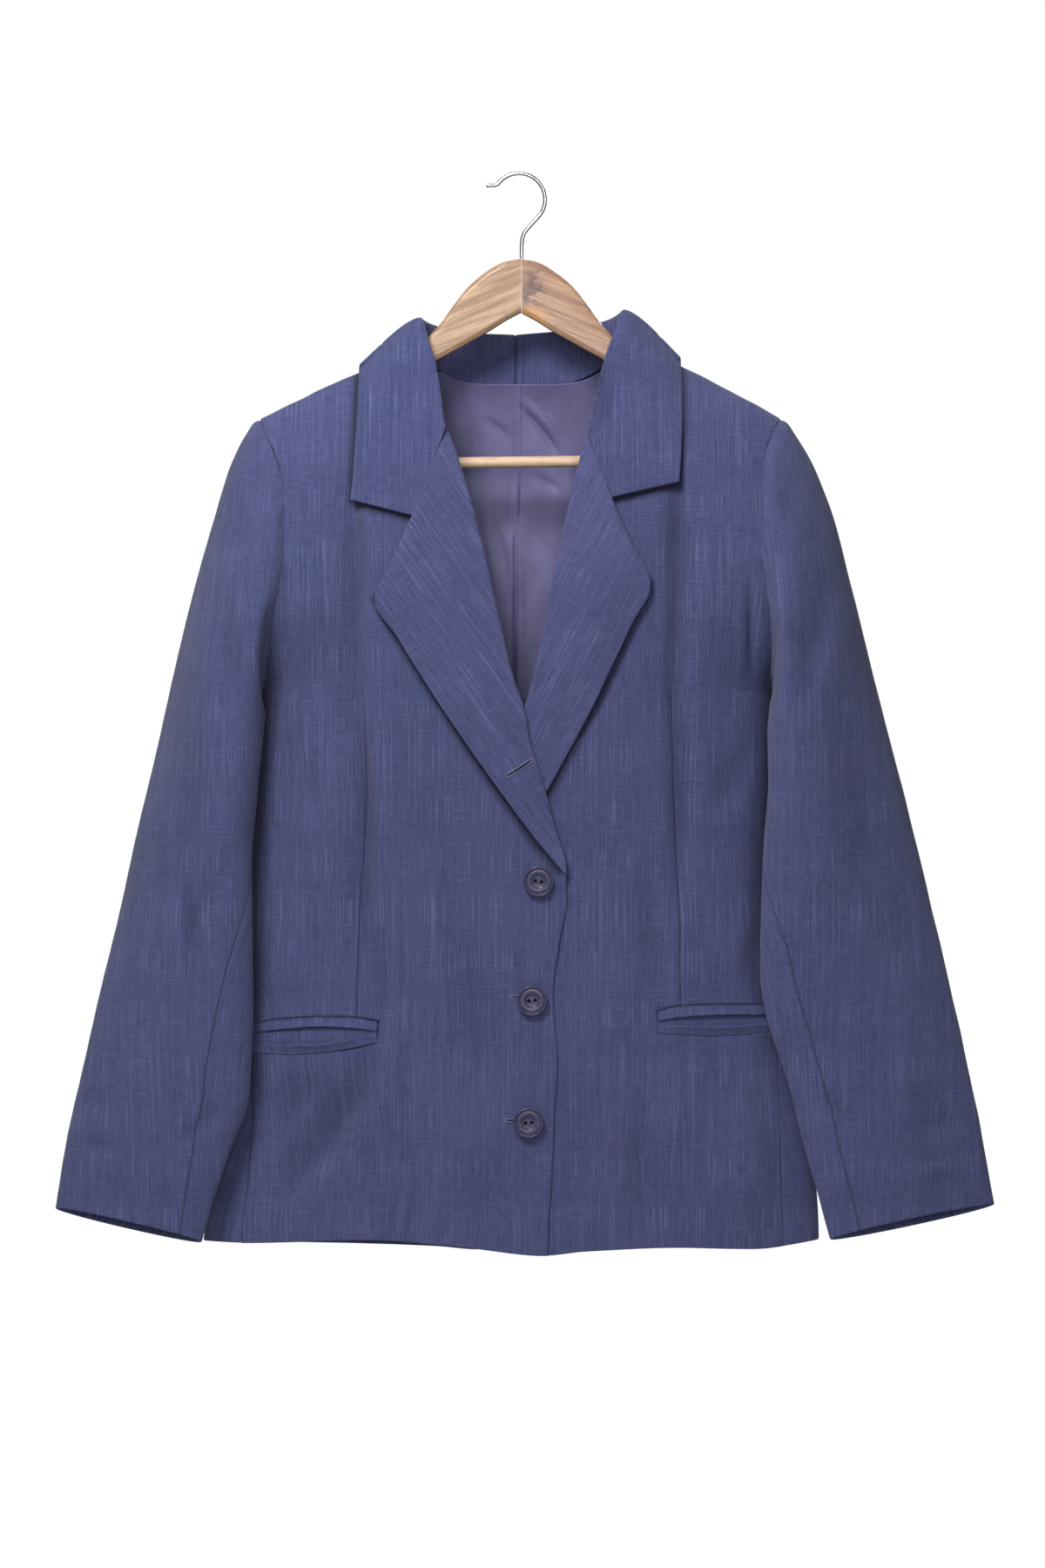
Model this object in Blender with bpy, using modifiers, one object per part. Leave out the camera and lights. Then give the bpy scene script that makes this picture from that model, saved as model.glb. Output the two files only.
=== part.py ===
"""A single breasted blazer hanging on a wooden hanger, as its cut and sewn pieces.

Metres, +Z up. The front faces -Y and +X is the wearer's left. The origin is the
highest point inside the hook, where a rail carries the hanger. Cloth pieces are
walls between an outer and an inner grid of points. Both grids come from one body
surface (or one sleeve tube), taken at two depths, so neighbours meet at a seam.
"""

import math

import bmesh
import bpy
import numpy as np

RIGHT, LEFT = -1, 1      # sides of the wearer, as signs of X
FRONT, BACK = -1, 1      # as signs of Y

# ---------------------------------------------------------------- driving dimensions
CLOTH = 0.0016           # wall of the body and sleeves
COLLAR_CLOTH = 0.0020    # two layers of cloth, pressed together
LAPEL_CLOTH = 0.0018
LINING_CLOTH = 0.0012
SEAM_GAP = 0.0003
ARMHOLE_GAP = 0.0009
LAYER_GAP = 0.0004       # air between two layers that lie on each other

SHOULDER_DROP_FRONT = 0.200   # fall over which the front reaches its full depth
SHOULDER_DROP_BACK = 0.110
SHOULDER_ROUND = 0.012        # drop over which the wall's depth turns from down to in
BODY_POWER = 2.4              # squareness of the body's flattened rings
NECK_POINT = 0.078            # reach of the point where shoulder meets collar
NECK_BACK_HEIGHT = -0.159     # collar seam at the centre back
NECKLINE_POWER = 5            # how long the back neckline stays level before it turns up
CENTRE_BACK = -0.004
UNDERARM = -0.392
SIDE_SEAM_TURN = math.radians(31)   # how far the side seam sits forward at the hem
SIDE_SEAM_FALL = 0.400        # height over which it turns
HEM_SIDE_REACH = 0.200        # x where the side seams meet the hem
EDGE_HEM_HEIGHT = -0.815      # of the front edges at the hem
LINING_DEPTH = 0.0060         # of the lining under the back's outer face
LINING_SEAM_DEPTH = 0.0034    # and at the neck
LINING_FINE_ROWS = 9          # rows under the neck that keep the back's own spacing
LINING_EASE = 0.050           # fall over which it reaches its depth below the neck
LINING_SIDE_START, LINING_SIDE_EASE = 0.060, 0.020   # and reach, beside the neck
LINING_TOP_DROP = 0.022       # of the lining under the shoulder line beside the neck
OVERLAP_SINK = 0.0023         # how far the under front lies behind the upper one
LAPEL_SINK = 0.0030           # and further, where its lapel runs in between
LAPEL_SINK_BOTTOM, LAPEL_SINK_TOP = -0.545, -0.370
LAPEL_SINK_EASE = 0.019       # height over which that comes in and goes out
UNDER_MARGIN = 0.004          # reach of the full sink past the right front's edge
UNDER_FADE = 0.055            # width over which it comes up again beside the overlap

ARMHOLE_STEPS = 11            # rows of a panel beside the armhole
SKIRT_STEPS = 15              # rows from the underarm to the hem
FRONT_COLUMNS = 11
EDGE_CROWDING = {RIGHT: 1.0, LEFT: 1.2}   # how close a front's columns stand at its edge
NECK_COLUMNS, SHOULDER_COLUMNS = 5, 5   # of a back, on either side of the neck point
NECK_CROWDING = 1.6           # how close together the columns stand at the neck point
SLEEVE_RINGS = 14
RING_CROWDING = 1.15           # how close the rings stand at the armhole

BUTTON_RADIUS = 0.0115
BUTTON_THICKNESS = 0.0036
BUTTON_HOLE_RADIUS = 0.0014
BUTTON_HOLE_SPACING = 0.0047
BUTTON_SEAT = 0.0009          # of a button over the cloth, on its thread shank
BUTTON_SPAN = 0.004           # distance between the points that give its tilt

ARM_THICKNESS = 0.012
ARM_ROUNDING = 0.003
ARM_SEAT = 0.0027            # of an arm's upper edge under the shoulder's inner face
BAR_RADIUS = 0.0043
BAR_REACH = 0.1832
BAR_HEIGHT_RIGHT, BAR_HEIGHT_LEFT = -0.2195, -0.2152
WIRE_RADIUS = 0.0015
HOOK_RADIUS = 0.0198          # to the middle of the wire
HOOK_CENTRE = (-0.0013, -0.0198 + WIRE_RADIUS)


def table(header, *rows):
    """Columns of a table by name, each as an array."""
    return dict(zip(header.split(), np.array(rows, dtype=float).T))


BODY = table(
    "height right left front back",
    (-0.822, 0.2425, 0.2262, 0.0390, 0.0360),
    (-0.780, 0.2370, 0.2250, 0.0395, 0.0370),
    (-0.740, 0.2305, 0.2210, 0.0405, 0.0380),
    (-0.700, 0.2240, 0.2150, 0.0415, 0.0385),
    (-0.640, 0.2160, 0.2040, 0.0430, 0.0385),
    (-0.590, 0.2095, 0.1930, 0.0440, 0.0385),
    (-0.540, 0.2070, 0.1890, 0.0455, 0.0390),
    (-0.480, 0.2045, 0.1900, 0.0490, 0.0410),
    (-0.430, 0.1985, 0.1912, 0.0525, 0.0440),
    (-0.392, 0.1965, 0.1905, 0.0545, 0.0460),
    (-0.300, 0.1965, 0.1905, 0.0560, 0.0475),
    (-0.100, 0.1965, 0.1905, 0.0560, 0.0475))

ARMHOLE = table(
    "height right left",
    (-0.3920, 0.1965, 0.1905),
    (-0.3600, 0.1925, 0.1915),
    (-0.3300, 0.1880, 0.1894),
    (-0.3070, 0.1828, 0.1860),
    (-0.2700, 0.1797, 0.1842),
    (-0.2418, 0.1805, 0.1845),
    (-0.2175, 0.1861, 0.1855),
    (-0.1998, 0.1935, 0.1905),
    (-0.1845, 0.1975, 0.1968))
ARMHOLE_DEPTH = 0.85          # share of the body's depth at the armhole's widest
ARMHOLE_RISE = 0.070          # height over which the armhole opens to that depth

SHOULDER = table(
    "reach right left",
    (0.0000, -0.1280, -0.1265),
    (0.0780, -0.1280, -0.1265),
    (0.1000, -0.1392, -0.1352),
    (0.1220, -0.1495, -0.1450),
    (0.1500, -0.1612, -0.1592),
    (0.1780, -0.1752, -0.1738),
    (0.1975, -0.1848, -0.1845))

FRONT_EDGE = table(
    "height right left",
    (-0.8220, 0.0203, -0.0150),
    (-0.7950, 0.0210, -0.0145),
    (-0.7545, 0.0236, -0.0145),
    (-0.7074, 0.0255, -0.0145),
    (-0.6727, 0.0275, -0.0145),
    (-0.6182, 0.0246, -0.0145),
    (-0.5791, 0.0295, -0.0145),
    (-0.5471, 0.0347, -0.0145),
    (-0.5274, 0.0340, -0.0145),
    (-0.4888, 0.0236, -0.0125),
    (-0.4600, 0.0158, -0.0090),
    (-0.4273, 0.0060, -0.0028),
    (-0.4077, 0.0026, 0.0026),
    (-0.3809, -0.0065, 0.0102),
    (-0.3390, -0.0163, 0.0188),
    (-0.2736, -0.0314, 0.0320),
    (-0.2167, -0.0477, 0.0452),
    (-0.1950, -0.0556, 0.0508),
    (-0.1500, -0.0700, 0.0690),
    (-0.1265, -0.0780, 0.0780))

HEM = table(
    "x front back",
    (-0.2425, -0.8080, -0.8080),
    (-0.2089, -0.8076, -0.8095),
    (-0.1113, -0.8046, -0.8120),
    (-0.0635, -0.8078, -0.8140),
    (-0.0334, -0.8111, -0.8165),
    (0.0170, -0.8163, -0.8160),
    (0.0491, -0.8131, -0.8130),
    (0.1153, -0.8104, -0.8105),
    (0.1762, -0.8118, -0.8115),
    (0.2262, -0.8060, -0.8060))

# soft folds of the body: a trough where the depth is positive, a ridge where negative
FOLDS = table(
    "x top bottom lean width depth",
    (-0.1210, -0.260, -0.470, 0.000, 0.016, 0.0026),
    (0.1185, -0.280, -0.470, 0.000, 0.015, 0.0022),
    (-0.1080, -0.560, -0.660, 0.010, 0.012, 0.0020),
    (-0.0950, -0.740, -0.800, -0.012, 0.010, 0.0022),
    (0.0900, -0.690, -0.800, 0.004, 0.018, 0.0018),
    (-0.1550, -0.700, -0.805, -0.006, 0.020, -0.0020),
    (0.1650, -0.680, -0.800, 0.006, 0.020, -0.0020))
BACK_FOLDS = table(
    "x top bottom lean width depth",
    (-0.0850, -0.520, -0.800, -0.010, 0.024, 0.0030),
    (0.0950, -0.500, -0.790, 0.010, 0.022, 0.0028),
    (-0.1250, -0.210, -0.330, 0.012, 0.018, 0.0024),
    (0.1200, -0.220, -0.340, -0.010, 0.018, 0.0022),
    (0.0300, -0.640, -0.810, 0.006, 0.020, -0.0018))

SLEEVE_HEADER = "share outer_x outer_z outer_y inner_x inner_z inner_y depth"
SLEEVES = {
    RIGHT: table(
        SLEEVE_HEADER,
        (0.00, 0.1975, -0.1848, 0.000, 0.1965, -0.3920, 0.000, 0.0460),
        (0.05, 0.2070, -0.1930, 0.000, 0.1988, -0.3965, -0.006, 0.0490),
        (0.12, 0.2200, -0.2175, 0.002, 0.1990, -0.4020, -0.018, 0.0490),
        (0.20, 0.2340, -0.2640, 0.005, 0.1970, -0.4120, -0.026, 0.0470),
        (0.30, 0.2507, -0.3251, 0.008, 0.1978, -0.4300, -0.032, 0.0450),
        (0.42, 0.2690, -0.4040, 0.008, 0.2000, -0.4680, -0.036, 0.0430),
        (0.54, 0.2905, -0.4970, 0.002, 0.2020, -0.5250, -0.037, 0.0390),
        (0.66, 0.3119, -0.5929, -0.008, 0.2007, -0.6120, -0.038, 0.0310),
        (0.78, 0.3297, -0.6686, -0.016, 0.2035, -0.6930, -0.040, 0.0240),
        (0.86, 0.3402, -0.7167, -0.018, 0.2192, -0.7400, -0.041, 0.0190),
        (0.93, 0.3460, -0.7480, -0.020, 0.2302, -0.7720, -0.042, 0.0160),
        (1.00, 0.3514, -0.7815, -0.022, 0.2397, -0.8056, -0.042, 0.0135)),
    LEFT: table(
        SLEEVE_HEADER,
        (0.00, 0.1968, -0.1845, 0.000, 0.1905, -0.3920, 0.000, 0.0460),
        (0.05, 0.2070, -0.1935, 0.000, 0.1925, -0.3965, -0.006, 0.0490),
        (0.12, 0.2230, -0.2200, 0.002, 0.1922, -0.4020, -0.018, 0.0490),
        (0.20, 0.2370, -0.2570, 0.005, 0.1910, -0.4120, -0.027, 0.0460),
        (0.30, 0.2500, -0.3090, 0.008, 0.1890, -0.4280, -0.034, 0.0430),
        (0.42, 0.2700, -0.3900, 0.008, 0.1862, -0.4600, -0.038, 0.0400),
        (0.54, 0.2960, -0.4900, 0.000, 0.1820, -0.5200, -0.040, 0.0330),
        (0.66, 0.3198, -0.5929, -0.010, 0.1797, -0.6050, -0.040, 0.0240),
        (0.78, 0.3370, -0.6730, -0.018, 0.2035, -0.6950, -0.040, 0.0180),
        (0.86, 0.3460, -0.7160, -0.020, 0.2150, -0.7400, -0.041, 0.0160),
        (0.93, 0.3515, -0.7450, -0.021, 0.2240, -0.7710, -0.042, 0.0140),
        (1.00, 0.3573, -0.7785, -0.022, 0.2325, -0.8036, -0.042, 0.0125))}
# angles round a sleeve from its outer side over the front, where its seams run
SLEEVE_SEAMS = table(
    "share forearm back",
    (0.00, math.radians(198), math.radians(306)),
    (0.54, math.radians(186), math.radians(306)),
    (0.75, math.radians(160), math.radians(304)),
    (1.00, math.radians(136), math.radians(300)))
UPPER_STEPS, UNDER_STEPS = 14, 6
ARMHOLE_FADE = 0.35           # share of the length over which a ring leaves the armhole's shape

COLLAR_HEADER = "share seam_x seam_z roll_x roll_y roll_z edge_x edge_z"
COLLARS = {
    RIGHT: table(
        COLLAR_HEADER,
        (0.00, -0.0040, -0.1590, -0.0040, 0.0360, -0.1200, -0.0040, -0.1830),
        (0.25, -0.0400, -0.1577, -0.0410, 0.0335, -0.1185, -0.0560, -0.1815),
        (0.45, -0.0700, -0.1410, -0.0700, 0.0200, -0.1125, -0.1060, -0.1680),
        (0.60, -0.0780, -0.1265, -0.0765, 0.0010, -0.1100, -0.1212, -0.1446),
        (0.75, -0.0725, -0.1480, -0.0705, -0.0220, -0.1310, -0.1225, -0.1800),
        (0.90, -0.0620, -0.1770, -0.0605, -0.0405, -0.1715, -0.1240, -0.2220),
        (1.00, -0.0556, -0.1945, -0.0556, -0.0455, -0.1935, -0.1253, -0.2480)),
    LEFT: table(
        COLLAR_HEADER,
        (0.00, -0.0040, -0.1590, -0.0040, 0.0360, -0.1200, -0.0040, -0.1830),
        (0.25, 0.0330, -0.1577, 0.0350, 0.0335, -0.1165, 0.0500, -0.1800),
        (0.45, 0.0690, -0.1400, 0.0700, 0.0200, -0.1085, 0.1040, -0.1650),
        (0.60, 0.0780, -0.1250, 0.0785, 0.0010, -0.1040, 0.1200, -0.1393),
        (0.75, 0.0715, -0.1480, 0.0700, -0.0220, -0.1280, 0.1210, -0.1760),
        (0.90, 0.0585, -0.1790, 0.0570, -0.0405, -0.1730, 0.1190, -0.2120),
        (1.00, 0.0500, -0.1990, 0.0500, -0.0460, -0.1985, 0.1168, -0.2343))}
NOTCH = {RIGHT: (-0.0797, -0.2606), LEFT: (0.0663, -0.2468)}
COLLAR_SEAM_DEPTH = table(    # of the neck seam under the body's face, in front on top of it
    "share depth",
    (0.45, 0.0040),
    (0.60, 0.0010),
    (0.75, -COLLAR_CLOTH - LAYER_GAP))
COLLAR_ROLL = 0.0050          # half the width of the roll at the top of the collar
COLLAR_ROLL_RISE = 0.0030     # how far the roll stands above its two sides
COLLAR_ROLL_FLATTEN = 0.2     # share of the length over which the roll flattens to the gorge
GORGE_START, GORGE_POWER = 0.70, 1.5   # share from where the end is bent to the gorge
COLLAR_LIFT = 0.0065          # of its face over the cloth that it lies on
COLLAR_SIDE_SHARE = 0.6       # share of the collar's length at the shoulder
COLLAR_ROWS, COLLAR_COLUMNS = 15, 12
COLLAR_GORGE_COLUMN, COLLAR_NOTCH_COLUMN = 5, 8

LAPEL_HEADER = "share roll_z outer_x outer_z"
LAPELS = {
    RIGHT: table(
        LAPEL_HEADER,
        (0.00, -0.1960, -0.0794, -0.2620),
        (0.10, -0.2200, -0.0930, -0.2915),
        (0.20, -0.2480, -0.1069, -0.3231),
        (0.32, -0.2900, -0.0905, -0.3510),
        (0.45, -0.3400, -0.0680, -0.3880),
        (0.60, -0.4000, -0.0366, -0.4358),
        (0.75, -0.4500, -0.0131, -0.4698),
        (0.90, -0.5010, 0.0130, -0.5040),
        (1.00, -0.5260, 0.0285, -0.5250)),
    LEFT: table(
        LAPEL_HEADER,
        (0.00, -0.2005, 0.0660, -0.2476),
        (0.10, -0.2230, 0.0805, -0.2800),
        (0.20, -0.2480, 0.0950, -0.3123),
        (0.32, -0.2900, 0.0815, -0.3410),
        (0.45, -0.3400, 0.0640, -0.3790),
        (0.60, -0.4000, 0.0400, -0.4300),
        (0.75, -0.4500, 0.0196, -0.4675),
        (0.90, -0.5000, 0.0020, -0.4960),
        (1.00, -0.5260, -0.0085, -0.5180))}
LAPEL_END_GAP = 0.0012        # by which lapel and collar each stop short of the gorge seam
LAPEL_BELLY = 0.0026          # how far a lapel stands off its front midway
LAPEL_BELLY_EASE = 0.3         # share of the length over which the belly grows from the break
LAPEL_PEAK_SHARE = 0.2         # share of the length at the outer corner
LAPEL_ROWS, LAPEL_COLUMNS = 20, 6

POCKET_HEADER = "reach upper_seam mouth welt_top lower_seam"
POCKETS = {
    RIGHT: table(
        POCKET_HEADER,
        (0.1080, -0.6394, -0.6470, -0.6488, -0.6564),
        (0.1290, -0.6366, -0.6450, -0.6535, -0.6605),
        (0.1490, -0.6362, -0.6442, -0.6568, -0.6638),
        (0.1781, -0.6378, -0.6462, -0.6578, -0.6656),
        (0.2040, -0.6420, -0.6494, -0.6560, -0.6640)),
    LEFT: table(
        POCKET_HEADER,
        (0.1048, -0.6316, -0.6396, -0.6418, -0.6492),
        (0.1192, -0.6282, -0.6372, -0.6430, -0.6502),
        (0.1532, -0.6270, -0.6354, -0.6436, -0.6512),
        (0.1870, -0.6276, -0.6358, -0.6414, -0.6488),
        (0.1960, -0.6280, -0.6362, -0.6404, -0.6480))}
WELT_THICKNESS = 0.0012
UPPER_WELT_GAPE = 0.0008      # how far the upper welt's free edge stands off
LOWER_WELT_GAPE = 0.0035      # and the lower welt's
WELT_LIP_POWER = 1.5          # how close to its edge a welt curls off
MOUTH_FULLNESS = 0.7          # how fast the mouth opens from its ends
POCKET_COLUMNS = 13

BUTTONS = (                   # x, height and turn of the two holes
    (0.0133, -0.5343, math.radians(-12)),
    (0.0085, -0.6240, math.radians(8)),
    (0.0059, -0.7158, math.radians(5)))
BUTTON_PROFILE = table(       # half section from the middle to the rim, face upwards
    "radius height",
    (0.00, 0.45), (0.36, 0.45), (0.46, 0.78), (0.74, 0.86), (0.82, 1.00),
    (0.94, 1.00), (1.00, 0.78), (1.00, 0.30), (0.86, 0.00), (0.00, 0.00))

ARM = table(                  # upper and lower edge of a hanger arm in the neck opening
    "reach top bottom",
    (0.0000, -0.0634, -0.1043),
    (0.0115, -0.0655, -0.1105),
    (0.0250, -0.0725, -0.1190),
    (0.0400, -0.0850, -0.1275),
    (0.0500, -0.0975, -0.1330),
    (0.0600, -0.1115, -0.1385),
    (0.0700, -0.1225, -0.1440),
    (0.0780, -0.1336, -0.1495))
ARM_JOINT = 0.0007            # x of the joint between the two wooden halves
ARM_TIP = 0.1950
ARM_TIP_BOTTOM = -0.2280
ARM_DEPTH = 0.0170            # height of an arm under the shoulder
ARM_CORNER = 0.004            # cut of its tip's corners
ARM_COVER_START = 0.007       # from the neck point to where the arm follows the shoulder
ARM_COVER_POINTS = 7
HOOK_TIP = ((-0.0257, -0.0080), (-0.0222, -0.0072))
HOOK_ARC = math.radians(150), math.radians(-42)
HOOK_ARC_POINTS = 22
HOOK_STEM = ((0.0072, -0.0382), (0.0028, -0.0428), (ARM_JOINT, -0.0480), (ARM_JOINT, -0.0630))


# ---------------------------------------------------------------- curves and surfaces
def along(columns, key, name, at):
    """A column's value at any key, on a smooth curve that never overshoots its rows."""
    knots, values = columns[key], columns[name]
    at = np.clip(at, knots[0], knots[-1])
    span = np.diff(knots)
    slope = np.diff(values) / span
    product = slope[:-1] * slope[1:]
    total = slope[:-1] + slope[1:]
    bend = np.where(product > 0, 2 * product / np.where(total == 0, 1, total), 0)
    tangent = np.concatenate(([slope[0]], bend, [slope[-1]]))
    i = np.clip(np.searchsorted(knots, at) - 1, 0, len(span) - 1)
    t = (at - knots[i]) / span[i]
    return (values[i] * (1 + 2 * t) * (1 - t) ** 2 + values[i + 1] * (3 - 2 * t) * t ** 2
            + span[i] * t * (1 - t) * (tangent[i] * (1 - t) - tangent[i + 1] * t))


def by_side(columns, key, x, at):
    """The right column's value where x is negative and the left column's elsewhere."""
    return np.where(x < 0, along(columns, key, "right", at), along(columns, key, "left", at))


def ease(t):
    """Smooth step from 0 to 1."""
    t = np.clip(t, 0, 1)
    return t * t * (3 - 2 * t)


def shoulder_line(x):
    """Height of the shoulder's ridge, level across the neck."""
    return by_side(SHOULDER, "reach", x, np.abs(x))


def half_width(x, height):
    """Half width of the body's ring on the side of x.

    Beside the armhole the ring runs on into the shoulder: it is as wide as it takes
    to bring the armhole's edge to its own share of the depth.
    """
    below = by_side(BODY, "height", x, height)
    rise = np.clip((height - UNDERARM) / ARMHOLE_RISE, 0, 1)
    share = ARMHOLE_DEPTH * np.sqrt(1 - (1 - rise) ** 2)
    squeeze = (1 - share ** BODY_POWER) ** (1 / BODY_POWER)
    beside = by_side(ARMHOLE, "height", x, height) / squeeze
    return np.where(height < UNDERARM, below, beside)


def fold_relief(x, height, facing):
    """Depth of the soft folds: rounded troughs and ridges that fade at both ends."""
    relief = np.zeros(np.broadcast(x, height, facing).shape)
    for folds, face in ((FOLDS, FRONT), (BACK_FOLDS, BACK)):
        for i in range(len(folds["x"])):
            top, bottom = folds["top"][i], folds["bottom"][i]
            share = np.clip((top - height) / (top - bottom), 0, 1)
            centre = folds["x"][i] + folds["lean"][i] * share
            across = np.exp(-((x - centre) / folds["width"][i]) ** 2)
            relief += np.where(facing == face, folds["depth"][i], 0) * across * np.sin(np.pi * share) ** 2
    return relief


def body_points(x, height, facing, depth):
    """Points on the body at a depth under its outer face; a negative depth lies on it."""
    width = half_width(x, height)
    share = np.minimum(np.abs(x) / width, 1)
    ridge = shoulder_line(x) - depth
    drop = np.where(facing == FRONT, SHOULDER_DROP_FRONT, SHOULDER_DROP_BACK)
    rise = np.sqrt(np.sin(0.5 * np.pi * np.clip((ridge - height + depth) / drop, 0, 1)))
    full = np.where(facing == FRONT, along(BODY, "height", "front", height),
                    along(BODY, "height", "back", height))
    relief = fold_relief(x, height, facing) * rise
    y = facing * (full - relief - depth) * rise * (1 - share ** BODY_POWER) ** (1 / BODY_POWER)
    top = 1 - ease((ridge + depth - height) / SHOULDER_ROUND)
    return np.stack(np.broadcast_arrays(x * (1 - depth / width), y, height - depth * top), axis=-1)


def turn_of(x, height, side):
    """Angle round the ring from the silhouette of a side to x."""
    share = np.minimum(np.abs(x) / half_width(x, height), 1)
    return np.arccos(np.sign(x * side) * share ** (BODY_POWER / 2))


def turned_x(turn, height, side):
    """The x at an angle round the ring, counted from the silhouette of a side."""
    cosine = np.cos(turn)
    share = np.sign(cosine) * np.abs(cosine) ** (2 / BODY_POWER)
    return side * share * half_width(side * np.sign(share + 1e-12), height)


def armhole_shares():
    """Shares of the way down an armhole, close together at both ends."""
    steps = np.concatenate(((0, 0.5), np.arange(1, ARMHOLE_STEPS)))
    return (1 - np.cos(np.pi * steps / (ARMHOLE_STEPS - 1))) / 2


def top_weight():
    """Share of the top row's shape that each row keeps, from the shoulder to the underarm."""
    return np.concatenate((ease(1 - armhole_shares()), np.zeros(SKIRT_STEPS)))[:, None]


def panel_rows(side, edge_top, side_hem, edge_hem):
    """Heights of a body panel's rows at its centre edge and at its side."""
    share = armhole_shares()
    shoulder_end = shoulder_line(side * ARMHOLE["right" if side == RIGHT else "left"][-1])
    skirt = np.arange(1, SKIRT_STEPS + 1) / SKIRT_STEPS
    edge = np.concatenate((edge_top + (UNDERARM - edge_top) * share,
                           UNDERARM + (edge_hem - UNDERARM) * skirt))
    flank = np.concatenate((shoulder_end + (UNDERARM - shoulder_end) * share,
                            UNDERARM + (side_hem - UNDERARM) * skirt))
    return edge, flank


def side_seam(height):
    """Angle of the side seam: on the silhouette at the underarm, forward at the hem."""
    return SIDE_SEAM_TURN * ease((UNDERARM - height) / SIDE_SEAM_FALL)


def side_x(height, side):
    """The x of a panel's side edge: the armhole's edge, then the side seam."""
    armhole = side * by_side(ARMHOLE, "height", float(side), height)
    return np.where(height > UNDERARM + 1e-6, armhole,
                    turned_x(side_seam(height), height, side))


def front_grid(side):
    """Places of a front's points as x, height and facing, from edge to side seam."""
    edge_name = "right" if side == RIGHT else "left"
    neck = shoulder_line(np.array(side * NECK_POINT))
    edge_hem = along(HEM, "x", "front", along(FRONT_EDGE, "height", edge_name, EDGE_HEM_HEIGHT))
    flank_hem = along(HEM, "x", "front", side * HEM_SIDE_REACH)
    edge, flank = panel_rows(side, neck, flank_hem, edge_hem)
    edge_x = along(FRONT_EDGE, "height", edge_name, edge)
    flank_x = side_x(flank, side)
    share = np.linspace(0, 1, FRONT_COLUMNS + 1)[None, :] ** EDGE_CROWDING[side]
    line = edge[:, None] + (flank - edge)[:, None] * share
    start = turn_of(edge_x, edge, side)[:, None]
    stop = turn_of(flank_x, flank, side)[:, None]
    x = turned_x(start + (stop - start) * share, line, side)
    x[:, 0], x[:, -1] = edge_x, flank_x
    rows = np.arange(len(edge))[:, None]
    height = line + (shoulder_line(x) - line[0]) * top_weight()
    hem = along(HEM, "x", "front", x)
    near_hem = np.clip((rows - ARMHOLE_STEPS) / SKIRT_STEPS, 0, 1) ** 2
    height += (hem - line[-1]) * near_hem
    return x, height, np.full(x.shape, FRONT)


def back_grid(side, lowered=0.0):
    """Places of a back's points, from the centre back round to the side seam.

    The columns crowd towards the neck point, where the neckline turns up sharply.
    """
    flank_hem = along(HEM, "x", "front", side * HEM_SIDE_REACH)
    centre_hem = along(HEM, "x", "back", CENTRE_BACK)
    edge, flank = panel_rows(side, NECK_BACK_HEIGHT, flank_hem, centre_hem)
    shoulder_end = abs(side_x(flank[:1], side)[0])
    neck = NECK_POINT * (1 - (1 - np.linspace(0, 1, NECK_COLUMNS + 1)) ** NECK_CROWDING)
    reach = np.concatenate((neck, np.linspace(NECK_POINT, shoulder_end, SHOULDER_COLUMNS + 1)[1:]))
    even = np.linspace(0, 1, len(reach))[None, :]
    flank_x = side_x(flank, side)
    line = edge[:, None] + (flank - edge)[:, None] * even
    start = -turn_of(np.full(edge.shape, CENTRE_BACK), edge, side)[:, None]
    stop = np.where(flank < UNDERARM, side_seam(flank),
                    -turn_of(flank_x, flank, side))[:, None]
    turn = start + (stop - start) * even
    x = turned_x(turn, line, side)
    rows = np.arange(len(edge))[:, None]
    x = x + (side * reach - x[0]) * top_weight()
    x[:, 0], x[:, -1] = CENTRE_BACK, flank_x
    turned_up = (np.abs(x) / NECK_POINT) ** NECKLINE_POWER
    neckline = NECK_BACK_HEIGHT + (shoulder_line(x) - NECK_BACK_HEIGHT) * turned_up
    top_line = np.where(np.abs(x) < NECK_POINT, neckline, shoulder_line(x))
    top_line = np.minimum(top_line, shoulder_line(x) - lowered)
    height = line + (top_line - line[0]) * top_weight()
    facing = np.where(turn > 0, FRONT, BACK)
    facing[:, -1] = np.where(flank < UNDERARM, FRONT, BACK)
    near_hem = np.clip((rows - ARMHOLE_STEPS) / SKIRT_STEPS, 0, 1) ** 2
    side_step = line[-1, -1] - along(HEM, "x", "back", flank_x[-1])
    hem = along(HEM, "x", "back", x) + side_step * even ** 2
    height += (hem - line[-1]) * near_hem
    return x, height, facing


def under_sink(x, height):
    """How far the left front sinks so that the right one passes over it."""
    reach = x - along(FRONT_EDGE, "height", "right", height)
    come_in = ease((height - LAPEL_SINK_BOTTOM) / LAPEL_SINK_EASE)
    go_out = ease((LAPEL_SINK_TOP - height) / LAPEL_SINK_EASE)
    beside = 1 - ease((reach - UNDER_MARGIN) / UNDER_FADE)
    return (OVERLAP_SINK + LAPEL_SINK * come_in * go_out) * beside


def sleeve_rings(side, share, turn, depth):
    """Points round a sleeve at shares of its length, at a depth under its face.

    A ring is an ellipse between an outer and an inner point, deep from front to back.
    """
    rings = SLEEVES[side]
    value = {name: along(rings, "share", name, share) for name in rings}
    outer = np.stack((side * value["outer_x"], value["outer_y"], value["outer_z"]), axis=-1)
    inner = np.stack((side * value["inner_x"], value["inner_y"], value["inner_z"]), axis=-1)
    middle, reach = (outer + inner) / 2, (outer - inner) / 2
    length = np.linalg.norm(reach, axis=-1, keepdims=True)
    points = middle + reach * (1 - depth / length) * np.cos(turn)[..., None]
    points[..., 1] -= (value["depth"] - depth) * np.sin(turn)
    return points


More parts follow.
